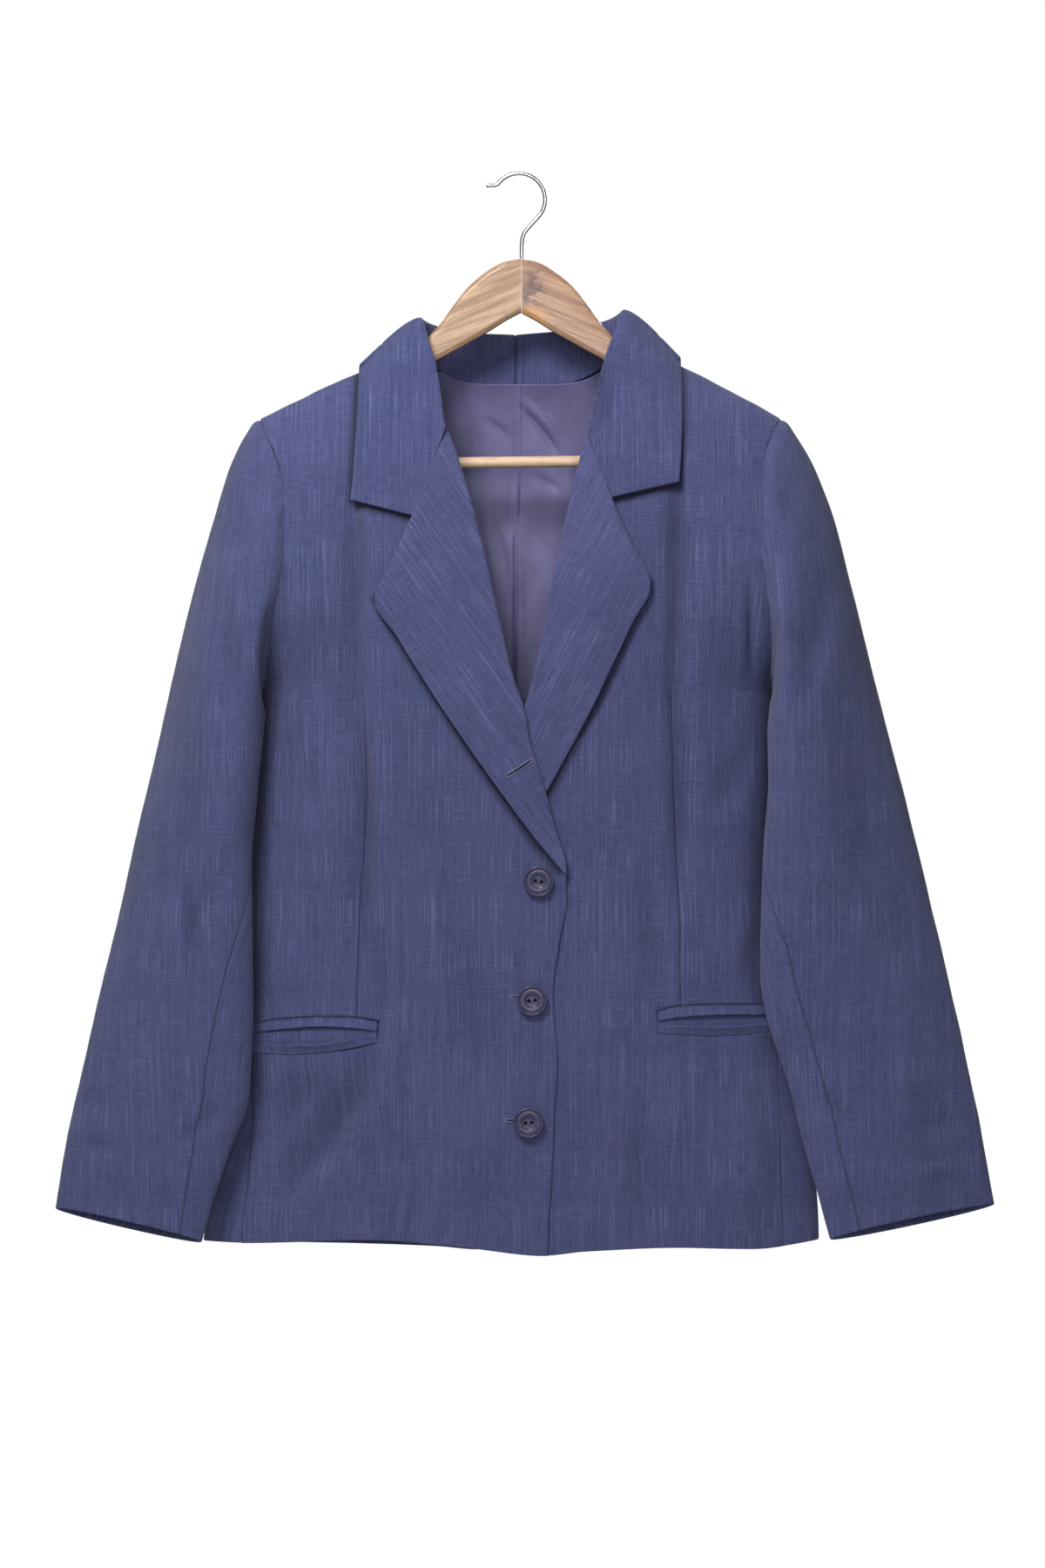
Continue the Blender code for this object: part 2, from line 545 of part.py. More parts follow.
def armhole_loop(side, turn, depth):
    """Points of a sleeve's first ring, which is the body's armhole moved off by a gap."""
    share = (1 - np.cos(turn)) / 2
    top = shoulder_line(np.array(side * ARMHOLE["right" if side == RIGHT else "left"][-1]))
    height = top + (UNDERARM - top) * share
    facing = np.where(np.sin(turn) > 0, FRONT, BACK)
    points = body_points(side_x(height, side), height, facing, depth)
    points[..., 0] += side * ARMHOLE_GAP
    return points


def sleeve_grid(side, upper, depth):
    """Grid of one of the sleeve's two pieces, rings along the first axis."""
    share = (np.arange(SLEEVE_RINGS + 1) / SLEEVE_RINGS) ** RING_CROWDING
    forearm = along(SLEEVE_SEAMS, "share", "forearm", share)[:, None]
    back = along(SLEEVE_SEAMS, "share", "back", share)[:, None]
    if upper:
        start, stop, steps = back - 2 * math.pi, forearm, UPPER_STEPS
    else:
        start, stop, steps = forearm, back, UNDER_STEPS
    turn = start + (stop - start) * np.linspace(0, 1, steps + 1)[None, :]
    share = np.broadcast_to(share[:, None], turn.shape)
    start_ring = sleeve_rings(side, np.zeros(turn.shape), turn, depth)
    from_armhole = armhole_loop(side, turn, depth) - start_ring
    kept = 1 - ease(share / ARMHOLE_FADE)[..., None]
    return sleeve_rings(side, share, turn, depth) + from_armhole * kept


def spline(control, steps):
    """Cubic B-spline through grids of control points, clamped at both ends."""
    control = np.asarray(control)
    count = len(control)
    knots = np.concatenate(([0] * 3, np.linspace(0, 1, count - 2), [1] * 3))
    at = np.linspace(0, 1, steps + 1)
    basis = np.zeros((len(knots) - 1, len(at)))
    for i in range(len(knots) - 1):
        last = knots[i] < knots[i + 1] == 1
        basis[i] = (knots[i] <= at) & ((at < knots[i + 1]) | (last & (at == 1)))
    for degree in range(1, 4):
        for i in range(len(knots) - 1 - degree):
            left, right = knots[i + degree] - knots[i], knots[i + degree + 1] - knots[i + 1]
            grow = (at - knots[i]) / left * basis[i] if left > 0 else 0
            fade = (knots[i + degree + 1] - at) / right * basis[i + 1] if right > 0 else 0
            basis[i] = grow + fade
    return np.einsum("ct,crk->rtk", basis[:count], control)


def collar_grid(side):
    """The collar's face from the neck seam up the stand, over the roll and down the fall."""
    share = np.linspace(0, 1, COLLAR_ROWS + 1)
    value = {name: along(COLLARS[side], "share", name, share) for name in COLLARS[side]}
    facing = np.where(share < COLLAR_SIDE_SHARE, BACK, FRONT)
    seam_depth = np.interp(share, COLLAR_SEAM_DEPTH["share"], COLLAR_SEAM_DEPTH["depth"])
    seam = body_points(value["seam_x"], value["seam_z"], facing, seam_depth)
    seam[:, 2] = value["seam_z"] + 2 * SEAM_GAP
    roll = np.stack((value["roll_x"], value["roll_y"], value["roll_z"]), axis=-1)
    edge = body_points(value["edge_x"], value["edge_z"], facing, -COLLAR_LIFT)
    edge[:, 2] = value["edge_z"]
    out = edge - roll
    out[:, 2] = 0
    out /= np.linalg.norm(out, axis=-1, keepdims=True)
    upright = ease((1 - share) / COLLAR_ROLL_FLATTEN)[:, None]
    lift = np.array((0, 0, COLLAR_ROLL_RISE)) * upright
    inside = roll - out * COLLAR_ROLL * upright + lift
    outside = roll + out * COLLAR_ROLL * (0.6 + 0.4 * upright) + lift
    middle = outside + (edge - outside) * 0.5
    middle += lift
    face = spline((seam, (seam + inside) / 2, inside, outside, middle, edge), COLLAR_COLUMNS)
    return follow_gorge(face, side, share)


def follow_gorge(face, side, share):
    """Bend the collar's front end to the gorge seam and the notch."""
    gorge = face[-1, COLLAR_GORGE_COLUMN, [0, 2]]
    corner = face[-1, -1, [0, 2]]
    across = np.arange(COLLAR_COLUMNS + 1)
    knots = (COLLAR_GORGE_COLUMN, COLLAR_NOTCH_COLUMN, COLLAR_COLUMNS)
    pull = np.clip((share - GORGE_START) / (1 - GORGE_START), 0, 1)[:, None] ** GORGE_POWER
    for axis, place in ((0, 0), (2, 1)):
        target = np.interp(across, knots, (gorge[place], NOTCH[side][place], corner[place]))
        shift = np.where(across >= COLLAR_GORGE_COLUMN, target - face[-1, :, axis], 0)
        face[..., axis] += pull * shift
    return face


def rest_collar(face):
    """Keep the fall clear of the body that it lies on, in front and behind."""
    x, y, height = face[..., 0], face[..., 1], face[..., 2]
    lying = np.arange(face.shape[1]) >= COLLAR_GORGE_COLUMN
    for facing in (FRONT, BACK):
        level = height
        for _ in range(4):
            top = 1 - ease((shoulder_line(x) - level) / SHOULDER_ROUND)
            level = height - COLLAR_LIFT * top
        limit = body_points(x, level, facing, -COLLAR_LIFT)[..., 1]
        under = lying & (level < shoulder_line(x)) & (y * facing > 0)
        y = np.where(under, facing * np.maximum(y * facing, limit * facing), y)
    face[..., 1] = y
    return face


def lapel_grid(side, depth):
    """Points of a lapel from its roll line to its outer edge, at a depth under its face."""
    columns = LAPELS[side]
    share = np.unique(np.concatenate((np.linspace(0, 1, LAPEL_ROWS + 1), (LAPEL_PEAK_SHARE,))))
    roll_z = along(columns, "share", "roll_z", share)[:, None]
    name = "right" if side == RIGHT else "left"
    roll_x = along(FRONT_EDGE, "height", name, roll_z)
    outer_x = along(columns, "share", "outer_x", share)[:, None]
    outer_z = along(columns, "share", "outer_z", share)[:, None]
    across = np.linspace(0, 1, LAPEL_COLUMNS + 1)[None, :]
    x = roll_x + (outer_x - roll_x) * across
    height = roll_z + (outer_z - roll_z) * across
    belly = LAPEL_BELLY * np.sin(np.pi * across) * ease((1 - share[:, None]) / LAPEL_BELLY_EASE)
    lift = LAPEL_CLOTH + LAYER_GAP + belly
    sink = 0
    if side == LEFT:
        sink = under_sink(x, height)
        hidden = np.clip(sink / OVERLAP_SINK, 0, 1)
        lift = lift + (LAPEL_CLOTH + 2 * LAYER_GAP - lift) * hidden
    return body_points(x, height, FRONT, sink - lift + depth)


def pull_back(outer, inner, axis, index, gap=SEAM_GAP):
    """Move one border of both grids towards its neighbours, to leave a seam's gap."""
    for grid in (outer, inner):
        border = np.moveaxis(grid, axis, 0)
        step = border[1 if index == 0 else -2] - border[index]
        length = np.maximum(np.linalg.norm(step, axis=-1, keepdims=True), 1e-9)
        border[index] += step / length * gap


# ---------------------------------------------------------------- Blender objects
def make_material(name, colour, roughness, metallic=0.0):
    """Principled material with the piece's plain colour and finish."""
    material = bpy.data.materials.new(name)
    material.use_nodes = True
    shader = material.node_tree.nodes["Principled BSDF"]
    shader.inputs["Base Color"].default_value = (*colour, 1.0)
    shader.inputs["Roughness"].default_value = roughness
    shader.inputs["Metallic"].default_value = metallic
    return material


def add_object(name, data, material, collection):
    """Object with one material, in the part's collection."""
    data.materials.append(material)
    piece = bpy.data.objects.new(name, data)
    collection.objects.link(piece)
    return piece


def cloth_wall(name, outer, inner, material, collection):
    """Closed wall between two grids of points, with its rim."""
    rows, columns = outer.shape[:2]
    index = np.arange(rows * columns).reshape(rows, columns)
    quads = np.stack((index[:-1, :-1], index[:-1, 1:], index[1:, 1:], index[1:, :-1]), axis=-1)
    quads = quads.reshape(-1, 4)
    ring = np.concatenate((index[0, :-1], index[:-1, -1], index[-1, :0:-1], index[:0:-1, 0]))
    after = np.roll(ring, -1)
    offset = rows * columns
    rim = np.stack((after, ring, ring + offset, after + offset), axis=-1)
    faces = np.concatenate((quads, quads[:, ::-1] + offset, rim))
    mesh = bpy.data.meshes.new(name)
    points = np.concatenate((outer.reshape(-1, 3), inner.reshape(-1, 3)))
    mesh.from_pydata(points.tolist(), [], faces.tolist())
    shell = bmesh.new()
    shell.from_mesh(mesh)
    bmesh.ops.recalc_face_normals(shell, faces=shell.faces)
    shell.to_mesh(mesh)
    shell.free()
    mesh.shade_smooth()
    mesh.set_sharp_from_angle(angle=math.radians(50))
    return add_object(name, mesh, material, collection)


def grid_normals(points):
    """Unit normals of a grid, from the directions of its rows and columns."""
    normal = np.cross(np.gradient(points, axis=1), np.gradient(points, axis=0))
    return normal / np.linalg.norm(normal, axis=-1, keepdims=True)


def build_fronts(cloth, collection):
    """Right front over, left front under it."""
    for side, name in ((RIGHT, "front_right"), (LEFT, "front_left")):
        x, height, facing = front_grid(side)
        sink = under_sink(x, height) if side == LEFT else 0
        outer = body_points(x, height, facing, sink)
        inner = body_points(x, height, facing, sink + CLOTH)
        pull_back(outer, inner, axis=0, index=0)
        pull_back(outer, inner, axis=1, index=-1)
        cloth_wall(name, outer, inner, cloth, collection)


def build_backs(cloth, lining, collection):
    """Back halves and the lining that shows inside them."""
    for side, name in ((RIGHT, "right"), (LEFT, "left")):
        x, height, facing = back_grid(side)
        outer, inner = (body_points(x, height, facing, depth) for depth in (0, CLOTH))
        pull_back(outer, inner, axis=1, index=-1, gap=2 * SEAM_GAP)
        if side == RIGHT:
            pull_back(outer, inner, axis=1, index=0)
        cloth_wall("back_" + name, outer, inner, cloth, collection)
        x, height, facing = back_grid(side, lowered=LINING_TOP_DROP)
        rows = np.r_[0:LINING_FINE_ROWS, LINING_FINE_ROWS:ARMHOLE_STEPS + SKIRT_STEPS:2]
        x, height, facing = x[rows, :-1], height[rows, :-1], facing[rows, :-1]
        height[0] -= SEAM_GAP
        below = ease((NECK_BACK_HEIGHT - height) / LINING_EASE)
        beside = ease((np.abs(x) - LINING_SIDE_START) / LINING_SIDE_EASE)
        depth = LINING_SEAM_DEPTH + (LINING_DEPTH - LINING_SEAM_DEPTH) * np.maximum(below, beside)
        outer = body_points(x, height, facing, depth)
        inner = body_points(x, height, facing, depth + LINING_CLOTH)
        if side == RIGHT:
            pull_back(outer, inner, axis=1, index=0)
        cloth_wall("lining_" + name, outer, inner, lining, collection)


def build_sleeves(cloth, collection):
    """Upper and under piece of each sleeve."""
    for side, name in ((RIGHT, "right"), (LEFT, "left")):
        for upper, piece in ((True, "sleeve_upper_"), (False, "sleeve_under_")):
            outer, inner = (sleeve_grid(side, upper, depth) for depth in (0, CLOTH))
            if upper:
                pull_back(outer, inner, axis=1, index=0, gap=2 * SEAM_GAP)
                pull_back(outer, inner, axis=1, index=-1, gap=2 * SEAM_GAP)
            cloth_wall(piece + name, outer, inner, cloth, collection)


def build_collar(cloth, collection):
    """Collar halves, seamed at the centre back."""
    for side, name in ((RIGHT, "collar_right"), (LEFT, "collar_left")):
        face = rest_collar(collar_grid(side))
        normal = grid_normals(face) * side
        outer, inner = face, face + normal * COLLAR_CLOTH
        if side == RIGHT:
            pull_back(outer, inner, axis=0, index=0)
        pull_back(outer, inner, axis=0, index=-1, gap=LAPEL_END_GAP)
        cloth_wall(name, outer, inner, cloth, collection)


def build_lapels(cloth, collection):
    """Lapels from the gorge to the break."""
    for side, name in ((RIGHT, "lapel_right"), (LEFT, "lapel_left")):
        outer, inner = (lapel_grid(side, depth) for depth in (0, LAPEL_CLOTH))
        pull_back(outer, inner, axis=0, index=0, gap=LAPEL_END_GAP)
        cloth_wall(name, outer, inner, cloth, collection)


def build_pockets(cloth, collection):
    """Two welts and the facing between them at each pocket mouth."""
    for side, name in ((RIGHT, "right"), (LEFT, "left")):
        columns = POCKETS[side]
        reach = np.linspace(columns["reach"][0], columns["reach"][-1], POCKET_COLUMNS + 1)
        line = {key: along(columns, "reach", key, reach) for key in columns}
        opened = np.sin(np.pi * (reach - reach[0]) / np.ptp(reach)) ** MOUTH_FULLNESS
        across = np.linspace(0, 1, 3)[:, None]
        lips = {
            "welt_upper_": ("upper_seam", "mouth", 0.0, UPPER_WELT_GAPE),
            "welt_lower_": ("welt_top", "lower_seam", LOWER_WELT_GAPE, 0.0),
            "pocket_facing_": ("mouth", "welt_top", 0.0, 0.0)}
        for piece, (top, bottom, top_gape, bottom_gape) in lips.items():
            trim = SEAM_GAP if piece == "pocket_facing_" else 0
            height = (line[top] - trim) + (line[bottom] - line[top] + 2 * trim) * across
            gape = opened * (top_gape * (1 - across) ** WELT_LIP_POWER + bottom_gape * across)
            x = side * np.broadcast_to(reach, height.shape)
            sink = under_sink(x, height) if side == LEFT else 0
            lift = LAYER_GAP + WELT_THICKNESS + gape
            outer, inner = (body_points(x, height, FRONT, sink - lift + depth)
                            for depth in (0, WELT_THICKNESS))
            cloth_wall(piece + name, outer, inner, cloth, collection)


def build_buttons(horn, collection, cutters):
    """Turned buttons with two holes, seated on the right front."""
    for number, (x, height, turn) in enumerate(BUTTONS, start=1):
        near = np.array(((x, height), (x + BUTTON_SPAN, height), (x, height + BUTTON_SPAN)))
        seat, beside, above = body_points(near[:, 0], near[:, 1], FRONT, 0.0)
        normal = np.cross(beside - seat, above - seat)
        normal /= np.linalg.norm(normal)
        profile = bpy.data.meshes.new("button_profile")
        points = [(r * BUTTON_RADIUS, 0.0, h * BUTTON_THICKNESS)
                  for r, h in zip(BUTTON_PROFILE["radius"], BUTTON_PROFILE["height"])]
        profile.from_pydata(points, [(i, i + 1) for i in range(len(points) - 1)], [])
        name = "button_%d" % number
        button = add_object(name, profile, horn, collection)
        screw = button.modifiers.new("turned", "SCREW")
        screw.steps = screw.render_steps = 20
        screw.use_merge_vertices = True
        screw.merge_threshold = 0.0001
        for hole in (-0.5, 0.5):
            bpy.ops.mesh.primitive_cylinder_add(
                vertices=8, radius=BUTTON_HOLE_RADIUS, depth=4 * BUTTON_THICKNESS)
            drill = bpy.context.object
            drill.name = "%s_drill_%s" % (name, "left" if hole > 0 else "right")
            for owner in list(drill.users_collection):
                owner.objects.unlink(drill)
            cutters.objects.link(drill)
            drill.parent = button
            drill.location = (hole * BUTTON_HOLE_SPACING * math.cos(turn),
                              hole * BUTTON_HOLE_SPACING * math.sin(turn), 0.0)
            drill.hide_render = True
            drill.display_type = "WIRE"
            cut = button.modifiers.new("hole", "BOOLEAN")
            cut.operation = "DIFFERENCE"
            cut.object = drill
        button.location = seat + normal * BUTTON_SEAT
        button.rotation_euler = (math.pi / 2 + math.asin(normal[2]), 0.0, math.asin(normal[0]))


def build_hanger(wood, metal, collection):
    """Two wooden arms, the trouser bar between their tips and the wire hook."""
    for side, name in ((RIGHT, "hanger_arm_right"), (LEFT, "hanger_arm_left")):
        reach = np.linspace(NECK_POINT + ARM_COVER_START, ARM_TIP - ARM_CORNER, ARM_COVER_POINTS)
        cover = shoulder_line(side * reach) - CLOTH - ARM_SEAT
        top = list(zip(ARM["reach"], ARM["top"])) + list(zip(reach, cover))
        notch = BAR_REACH + SEAM_GAP
        tip = [(ARM_TIP, cover[-1] - 1.5 * ARM_CORNER), (ARM_TIP, ARM_TIP_BOTTOM + ARM_CORNER),
               (ARM_TIP - ARM_CORNER, ARM_TIP_BOTTOM), (notch, ARM_TIP_BOTTOM),
               (notch, cover[-1] - ARM_DEPTH)]
        under = list(zip(reach[-2::-1], (cover - ARM_DEPTH)[-2::-1]))
        inner = list(zip(ARM["reach"], ARM["bottom"]))[::-1]
        outline = top + tip + under + inner
        curve = bpy.data.curves.new(name, "CURVE")
        curve.dimensions = "2D"
        curve.fill_mode = "BOTH"
        curve.extrude = ARM_THICKNESS / 2 - ARM_ROUNDING
        curve.bevel_depth = ARM_ROUNDING
        curve.bevel_resolution = 1
        curve.offset = -ARM_ROUNDING
        line = curve.splines.new("POLY")
        line.points.add(len(outline) - 1)
        for point, (x, z) in zip(line.points, outline):
            place = ARM_JOINT + side * SEAM_GAP / 2 if x == 0 else side * x
            point.co = (place, z, 0.0, 1.0)
        line.use_cyclic_u = True
        arm = add_object(name, curve, wood, collection)
        arm.rotation_euler = (math.pi / 2, 0.0, 0.0)
        weld = arm.modifiers.new("closed", "WELD")
        weld.merge_threshold = 0.00005
    rise = BAR_HEIGHT_LEFT - BAR_HEIGHT_RIGHT
    bpy.ops.mesh.primitive_cylinder_add(
        vertices=16, radius=BAR_RADIUS, depth=2 * BAR_REACH,
        location=(0.0, 0.0, (BAR_HEIGHT_LEFT + BAR_HEIGHT_RIGHT) / 2),
        rotation=(0.0, math.pi / 2 - math.atan2(rise, 2 * BAR_REACH), 0.0))
    bar = bpy.context.object
    bar.name = "hanger_bar"
    bar.data.materials.append(wood)
    for owner in list(bar.users_collection):
        owner.objects.unlink(bar)
    collection.objects.link(bar)
    build_hook(metal, collection)


def build_hook(metal, collection):
    """Wire hook: a flicked tip, an arc over the rail, a bend and a straight stem."""
    angles = np.linspace(*HOOK_ARC, HOOK_ARC_POINTS)
    centre_x, centre_z = HOOK_CENTRE
    round_rail = np.stack((np.cos(angles), np.sin(angles)), axis=-1)
    arc = np.array((centre_x, centre_z)) + HOOK_RADIUS * round_rail
    path = np.concatenate((HOOK_TIP, arc, HOOK_STEM))
    curve = bpy.data.curves.new("hanger_hook", "CURVE")
    curve.dimensions = "3D"
    curve.bevel_depth = WIRE_RADIUS
    curve.bevel_resolution = 2
    curve.use_fill_caps = True
    line = curve.splines.new("POLY")
    line.points.add(len(path) - 1)
    for point, (x, z) in zip(line.points, path):
        point.co = (x, 0.0, z, 1.0)
    hook = add_object("hanger_hook", curve, metal, collection)
    weld = hook.modifiers.new("closed", "WELD")
    weld.merge_threshold = 0.00002


def main():
    """Clear the scene and build every piece."""
    for stale in list(bpy.data.objects):
        bpy.data.objects.remove(stale, do_unlink=True)
    blazer = bpy.data.collections.new("blazer_on_hanger")
    cutters = bpy.data.collections.new("cutters")
    for collection in (blazer, cutters):
        bpy.context.scene.collection.children.link(collection)
    cloth = make_material("slate_cloth", (0.075, 0.085, 0.19), 0.85)
    lining = make_material("lining_satin", (0.107, 0.096, 0.178), 0.45)
    horn = make_material("button_resin", (0.05, 0.04, 0.06), 0.25)
    wood = make_material("hanger_wood", (0.45, 0.26, 0.12), 0.45)
    metal = make_material("hook_chrome", (0.75, 0.75, 0.77), 0.15, metallic=1.0)
    build_fronts(cloth, blazer)
    build_backs(cloth, lining, blazer)
    build_sleeves(cloth, blazer)
    build_collar(cloth, blazer)
    build_lapels(cloth, blazer)
    build_pockets(cloth, blazer)
    build_buttons(horn, blazer, cutters)
    build_hanger(wood, metal, blazer)


main()
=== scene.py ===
"""The dressed blazer: cloth, trims, hanger and light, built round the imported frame.

Metres, +Z up. The front faces -Y and +X is the wearer's left. Every piece is a
surface of two parameters, worked out as whole arrays, with its place in its mesh.
"""

import logging
import math
from collections.abc import Callable
from dataclasses import dataclass, field
from enum import Enum
from typing import ClassVar

import bpy
import numpy as np
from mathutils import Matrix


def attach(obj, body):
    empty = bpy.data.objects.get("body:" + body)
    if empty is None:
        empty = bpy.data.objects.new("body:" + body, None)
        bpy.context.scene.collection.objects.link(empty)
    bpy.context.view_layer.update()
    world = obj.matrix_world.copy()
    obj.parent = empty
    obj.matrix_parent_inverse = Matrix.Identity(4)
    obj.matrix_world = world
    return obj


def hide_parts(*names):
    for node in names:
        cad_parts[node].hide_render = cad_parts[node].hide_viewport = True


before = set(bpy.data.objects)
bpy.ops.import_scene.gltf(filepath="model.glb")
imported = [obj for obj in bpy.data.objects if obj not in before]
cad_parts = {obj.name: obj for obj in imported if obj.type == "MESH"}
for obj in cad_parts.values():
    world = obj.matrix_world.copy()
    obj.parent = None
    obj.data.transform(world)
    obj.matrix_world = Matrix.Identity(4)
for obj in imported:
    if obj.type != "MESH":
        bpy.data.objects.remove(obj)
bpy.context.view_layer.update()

LOG = logging.getLogger("blazer")
Array = np.ndarray
Values = np.ndarray | float
Piece = bpy.types.Object
Socket = bpy.types.NodeSocket
Point = tuple[float, float, float]
Colour = tuple[int, int, int]
FRONT, BACK = -1, 1           # as signs of Y
TINY, SMALL = 1e-12, 1e-6


class Side(Enum):
    """Sides of the wearer, as signs of X."""

    RIGHT = -1
    LEFT = 1

    @property
    def word(self) -> str:
        """The side's name in the pieces' names."""
        return self.name.lower()


class Rows:
    """A table with named columns, most of them read along smooth curves."""

    def __init__(self, header: str, table: str | Array, scale: float = 1000.0) -> None:
        """Keep the columns.

        Args:
            header: names of the columns, parted by spaces; the first is the key.
            table: its rows, in the order of a rising key where at() reads them: an array
                in metres, or text with commas between the rows, in millimetres and the
                shares in hundredths.
            scale: what the text's numbers are divided by, but for the shares.
        """
        names = header.split()
        if isinstance(table, str):
            scales = [100.0 if name == "share" else scale for name in names]
            table = np.array([row.split() for row in table.split(",")], dtype=float) / scales
        self.columns = dict(zip(names, table.T))
        self.key = names[0]

    def at(self, name: str, where: Values) -> Array:
        """Value of a column: cubic between rows, with slopes that never overshoot.

        Args:
            name: the column.
            where: values of the key; past the table's ends its end rows hold.

        Returns:
            The column's value at each place.
        """
        knots, values = self.columns[self.key], self.columns[name]
        where = np.clip(where, knots[0], knots[-1])
        span = np.diff(knots)
        slope = np.diff(values) / span
        product = slope[:-1] * slope[1:]
        total = slope[:-1] + slope[1:]
        bend = np.where(product > 0, 2 * product / np.where(total == 0, 1, total), 0)
        tangent = np.concatenate(([slope[0]], bend, [slope[-1]]))
        i = np.clip(np.searchsorted(knots, where) - 1, 0, len(span) - 1)
        t = (where - knots[i]) / span[i]
        return (values[i] * (1 + 2 * t) * (1 - t) ** 2 + values[i + 1] * (3 - 2 * t) * t ** 2
                + span[i] * t * (1 - t) * (tangent[i] * (1 - t) - tangent[i + 1] * t))

    def by_side(self, x: Values, where: Values) -> Array:
        """The right column where x is negative and the left column elsewhere."""
        return np.where(np.asarray(x) < 0, self.at("right", where), self.at("left", where))


def ease(t: Values) -> Array:
    """Smooth step from 0 to 1."""
    t = np.clip(t, 0, 1)
    return t * t * (3 - 2 * t)


def hump(distance: Array, width: float) -> Array:
    """Bell curve of a distance, 1 at its middle."""
    return np.exp(-(distance / width) ** 2)


def stack(*parts: Values) -> Array:
    """Coordinates joined on a new last axis."""
    return np.stack(np.broadcast_arrays(*parts), axis=-1)


BODY = Rows("height right left front back", """
    -822 242.5 226.2 39 36, -780 237 225 39.5 37, -740 230.5 221 40.5 38, -700 224 215 41.5 38.5,
    -640 216 204 43 38.5, -590 209.5 193 44 38.5, -540 207 189 45.5 39, -480 204.5 190 49 41,
    -430 198.5 191.2 52.5 44, -392 196.5 190.5 54.5 46, -300 196.5 190.5 56 47.5, -100 196.5 190.5 56 47.5""")
ARMHOLE = Rows("height right left", """
    -392 196.5 190.5, -360 192.5 191.5, -330 188 189.4, -307 182.8 186, -270 179.7 184.2,
    -241.8 180.5 184.5, -217.5 186.1 185.5, -199.8 193.5 190.5, -184.5 197.5 196.8""")
SHOULDER = Rows("reach right left", """
    0 -128 -126.5, 78 -128 -126.5, 100 -139.2 -135.2, 122 -149.5 -145, 150 -161.2 -159.2, 178 -175.2 -173.8,
    197.5 -184.8 -184.5""")
FRONT_EDGE = Rows("height right left", """
    -822 20.3 -15, -795 21 -14.5, -754.5 23.6 -14.5, -707.4 25.5 -14.5, -672.7 27.5 -14.5,
    -618.2 24.6 -14.5, -579.1 29.5 -14.5, -547.1 34.7 -14.5, -527.4 34 -14.5, -488.8 23.6 -12.5,
    -460 15.8 -9, -427.3 6 -2.8, -407.7 2.6 2.6, -380.9 -6.5 10.2, -339 -16.3 18.8, -273.6 -31.4 32,
    -216.7 -47.7 45.2, -195 -55.6 50.8, -150 -70 69, -126.5 -78 78""")
HEM = Rows("x front back", """
    -242.5 -808 -808, -208.9 -807.6 -809.5, -111.3 -804.6 -812, -63.5 -807.8 -814, -33.4 -811.1 -816.5,
    17 -816.3 -816, 49.1 -813.1 -813, 115.3 -810.4 -810.5, 176.2 -811.8 -811.5, 226.2 -806 -806""")
SLEEVE_HEADER = "share outer_x outer_z outer_y inner_x inner_z inner_y depth"
SLEEVES = {
    Side.RIGHT: Rows(SLEEVE_HEADER, """
        0 197.5 -184.8 0 196.5 -392 0 46, 5 207 -193 0 198.8 -396.5 -6 49,
        12 220 -217.5 2 197.2 -402 -18 49, 20 234 -264 5 194 -412 -26 47,
        30 250.7 -325.1 8 194.6 -430 -32 45, 42 269 -404 8 198 -468 -36 43, 54 290.5 -497 2 202 -525 -37 39,
        66 311.9 -592.9 -8 200.7 -612 -38 31, 78 329.7 -668.6 -16 203.5 -693 -40 24,
        86 340.2 -716.7 -18 219.2 -740 -41 19, 93 346 -748 -20 230.2 -772 -42 16,
        100 351.4 -781.5 -22 239.7 -805.6 -42 13.5"""),
    Side.LEFT: Rows(SLEEVE_HEADER, """
        0 196.8 -184.5 0 190.5 -392 0 46, 5 207 -193.5 0 192.5 -396.5 -6 49,
        12 223 -220 2 190.5 -402 -18 49, 20 237 -257 5 188.2 -412 -27 46, 30 250 -309 8 186.2 -428 -34 43,
        42 270 -390 8 186.2 -460 -38 40, 54 296 -490 0 182 -520 -40 33,
        66 319.8 -592.9 -10 179.7 -605 -40 24, 78 337 -673 -18 203.5 -695 -40 18,
        86 346 -716 -20 215 -740 -41 16, 93 351.5 -745 -21 224 -771 -42 14,
        100 357.3 -778.5 -22 232.5 -803.6 -42 12.5""")}
# degrees round a sleeve from its outer side over the front, by side, and its back seam
SLEEVE_SEAMS = Rows("share right left back", """
    0 198 198 306, 48 190 189 306, 55 170 171 306, 60 147 147 305, 65 130 132 305, 71 121.5 127.5 304,
    77 118 129 303, 85 124 129.5 302, 100 136 131 300""", 1.0)
COLLAR_HEADER = "share seam_x seam_z roll_x roll_y roll_z edge_x edge_z"
COLLARS = {
    Side.RIGHT: Rows(COLLAR_HEADER, """
        0 -4 -159 -4 36 -120 -4 -183, 25 -40 -157.7 -41 33.5 -118.5 -56 -181.5,
        45 -70 -141 -70 20 -112.5 -106 -168, 60 -78 -126.5 -76.5 1 -110 -121.2 -144.6,
        75 -72.5 -148 -70.5 -22 -131 -122.5 -180, 90 -62 -177 -60.5 -40.5 -171.5 -124 -222,
        100 -55.6 -194.5 -55.6 -45.5 -193.5 -125.3 -248"""),
    Side.LEFT: Rows(COLLAR_HEADER, """
        0 -4 -159 -4 36 -120 -4 -183, 25 33 -157.7 35 33.5 -116.5 50 -180, 45 69 -140 70 20 -108.5 104 -165,
        60 78 -125 78.5 1 -104 120 -139.3, 75 71.5 -148 70 -22 -128 121 -176,
        90 58.5 -179 57 -40.5 -173 119 -212, 100 50 -199 50 -46 -198.5 116.8 -234.3""")}
COLLAR_SEAM_DEPTH = Rows("share depth", """
    45 4, 60 1, 75 -2.4""")
NOTCH = {Side.RIGHT: (-0.0797, -0.2606), Side.LEFT: (0.0663, -0.2468)}
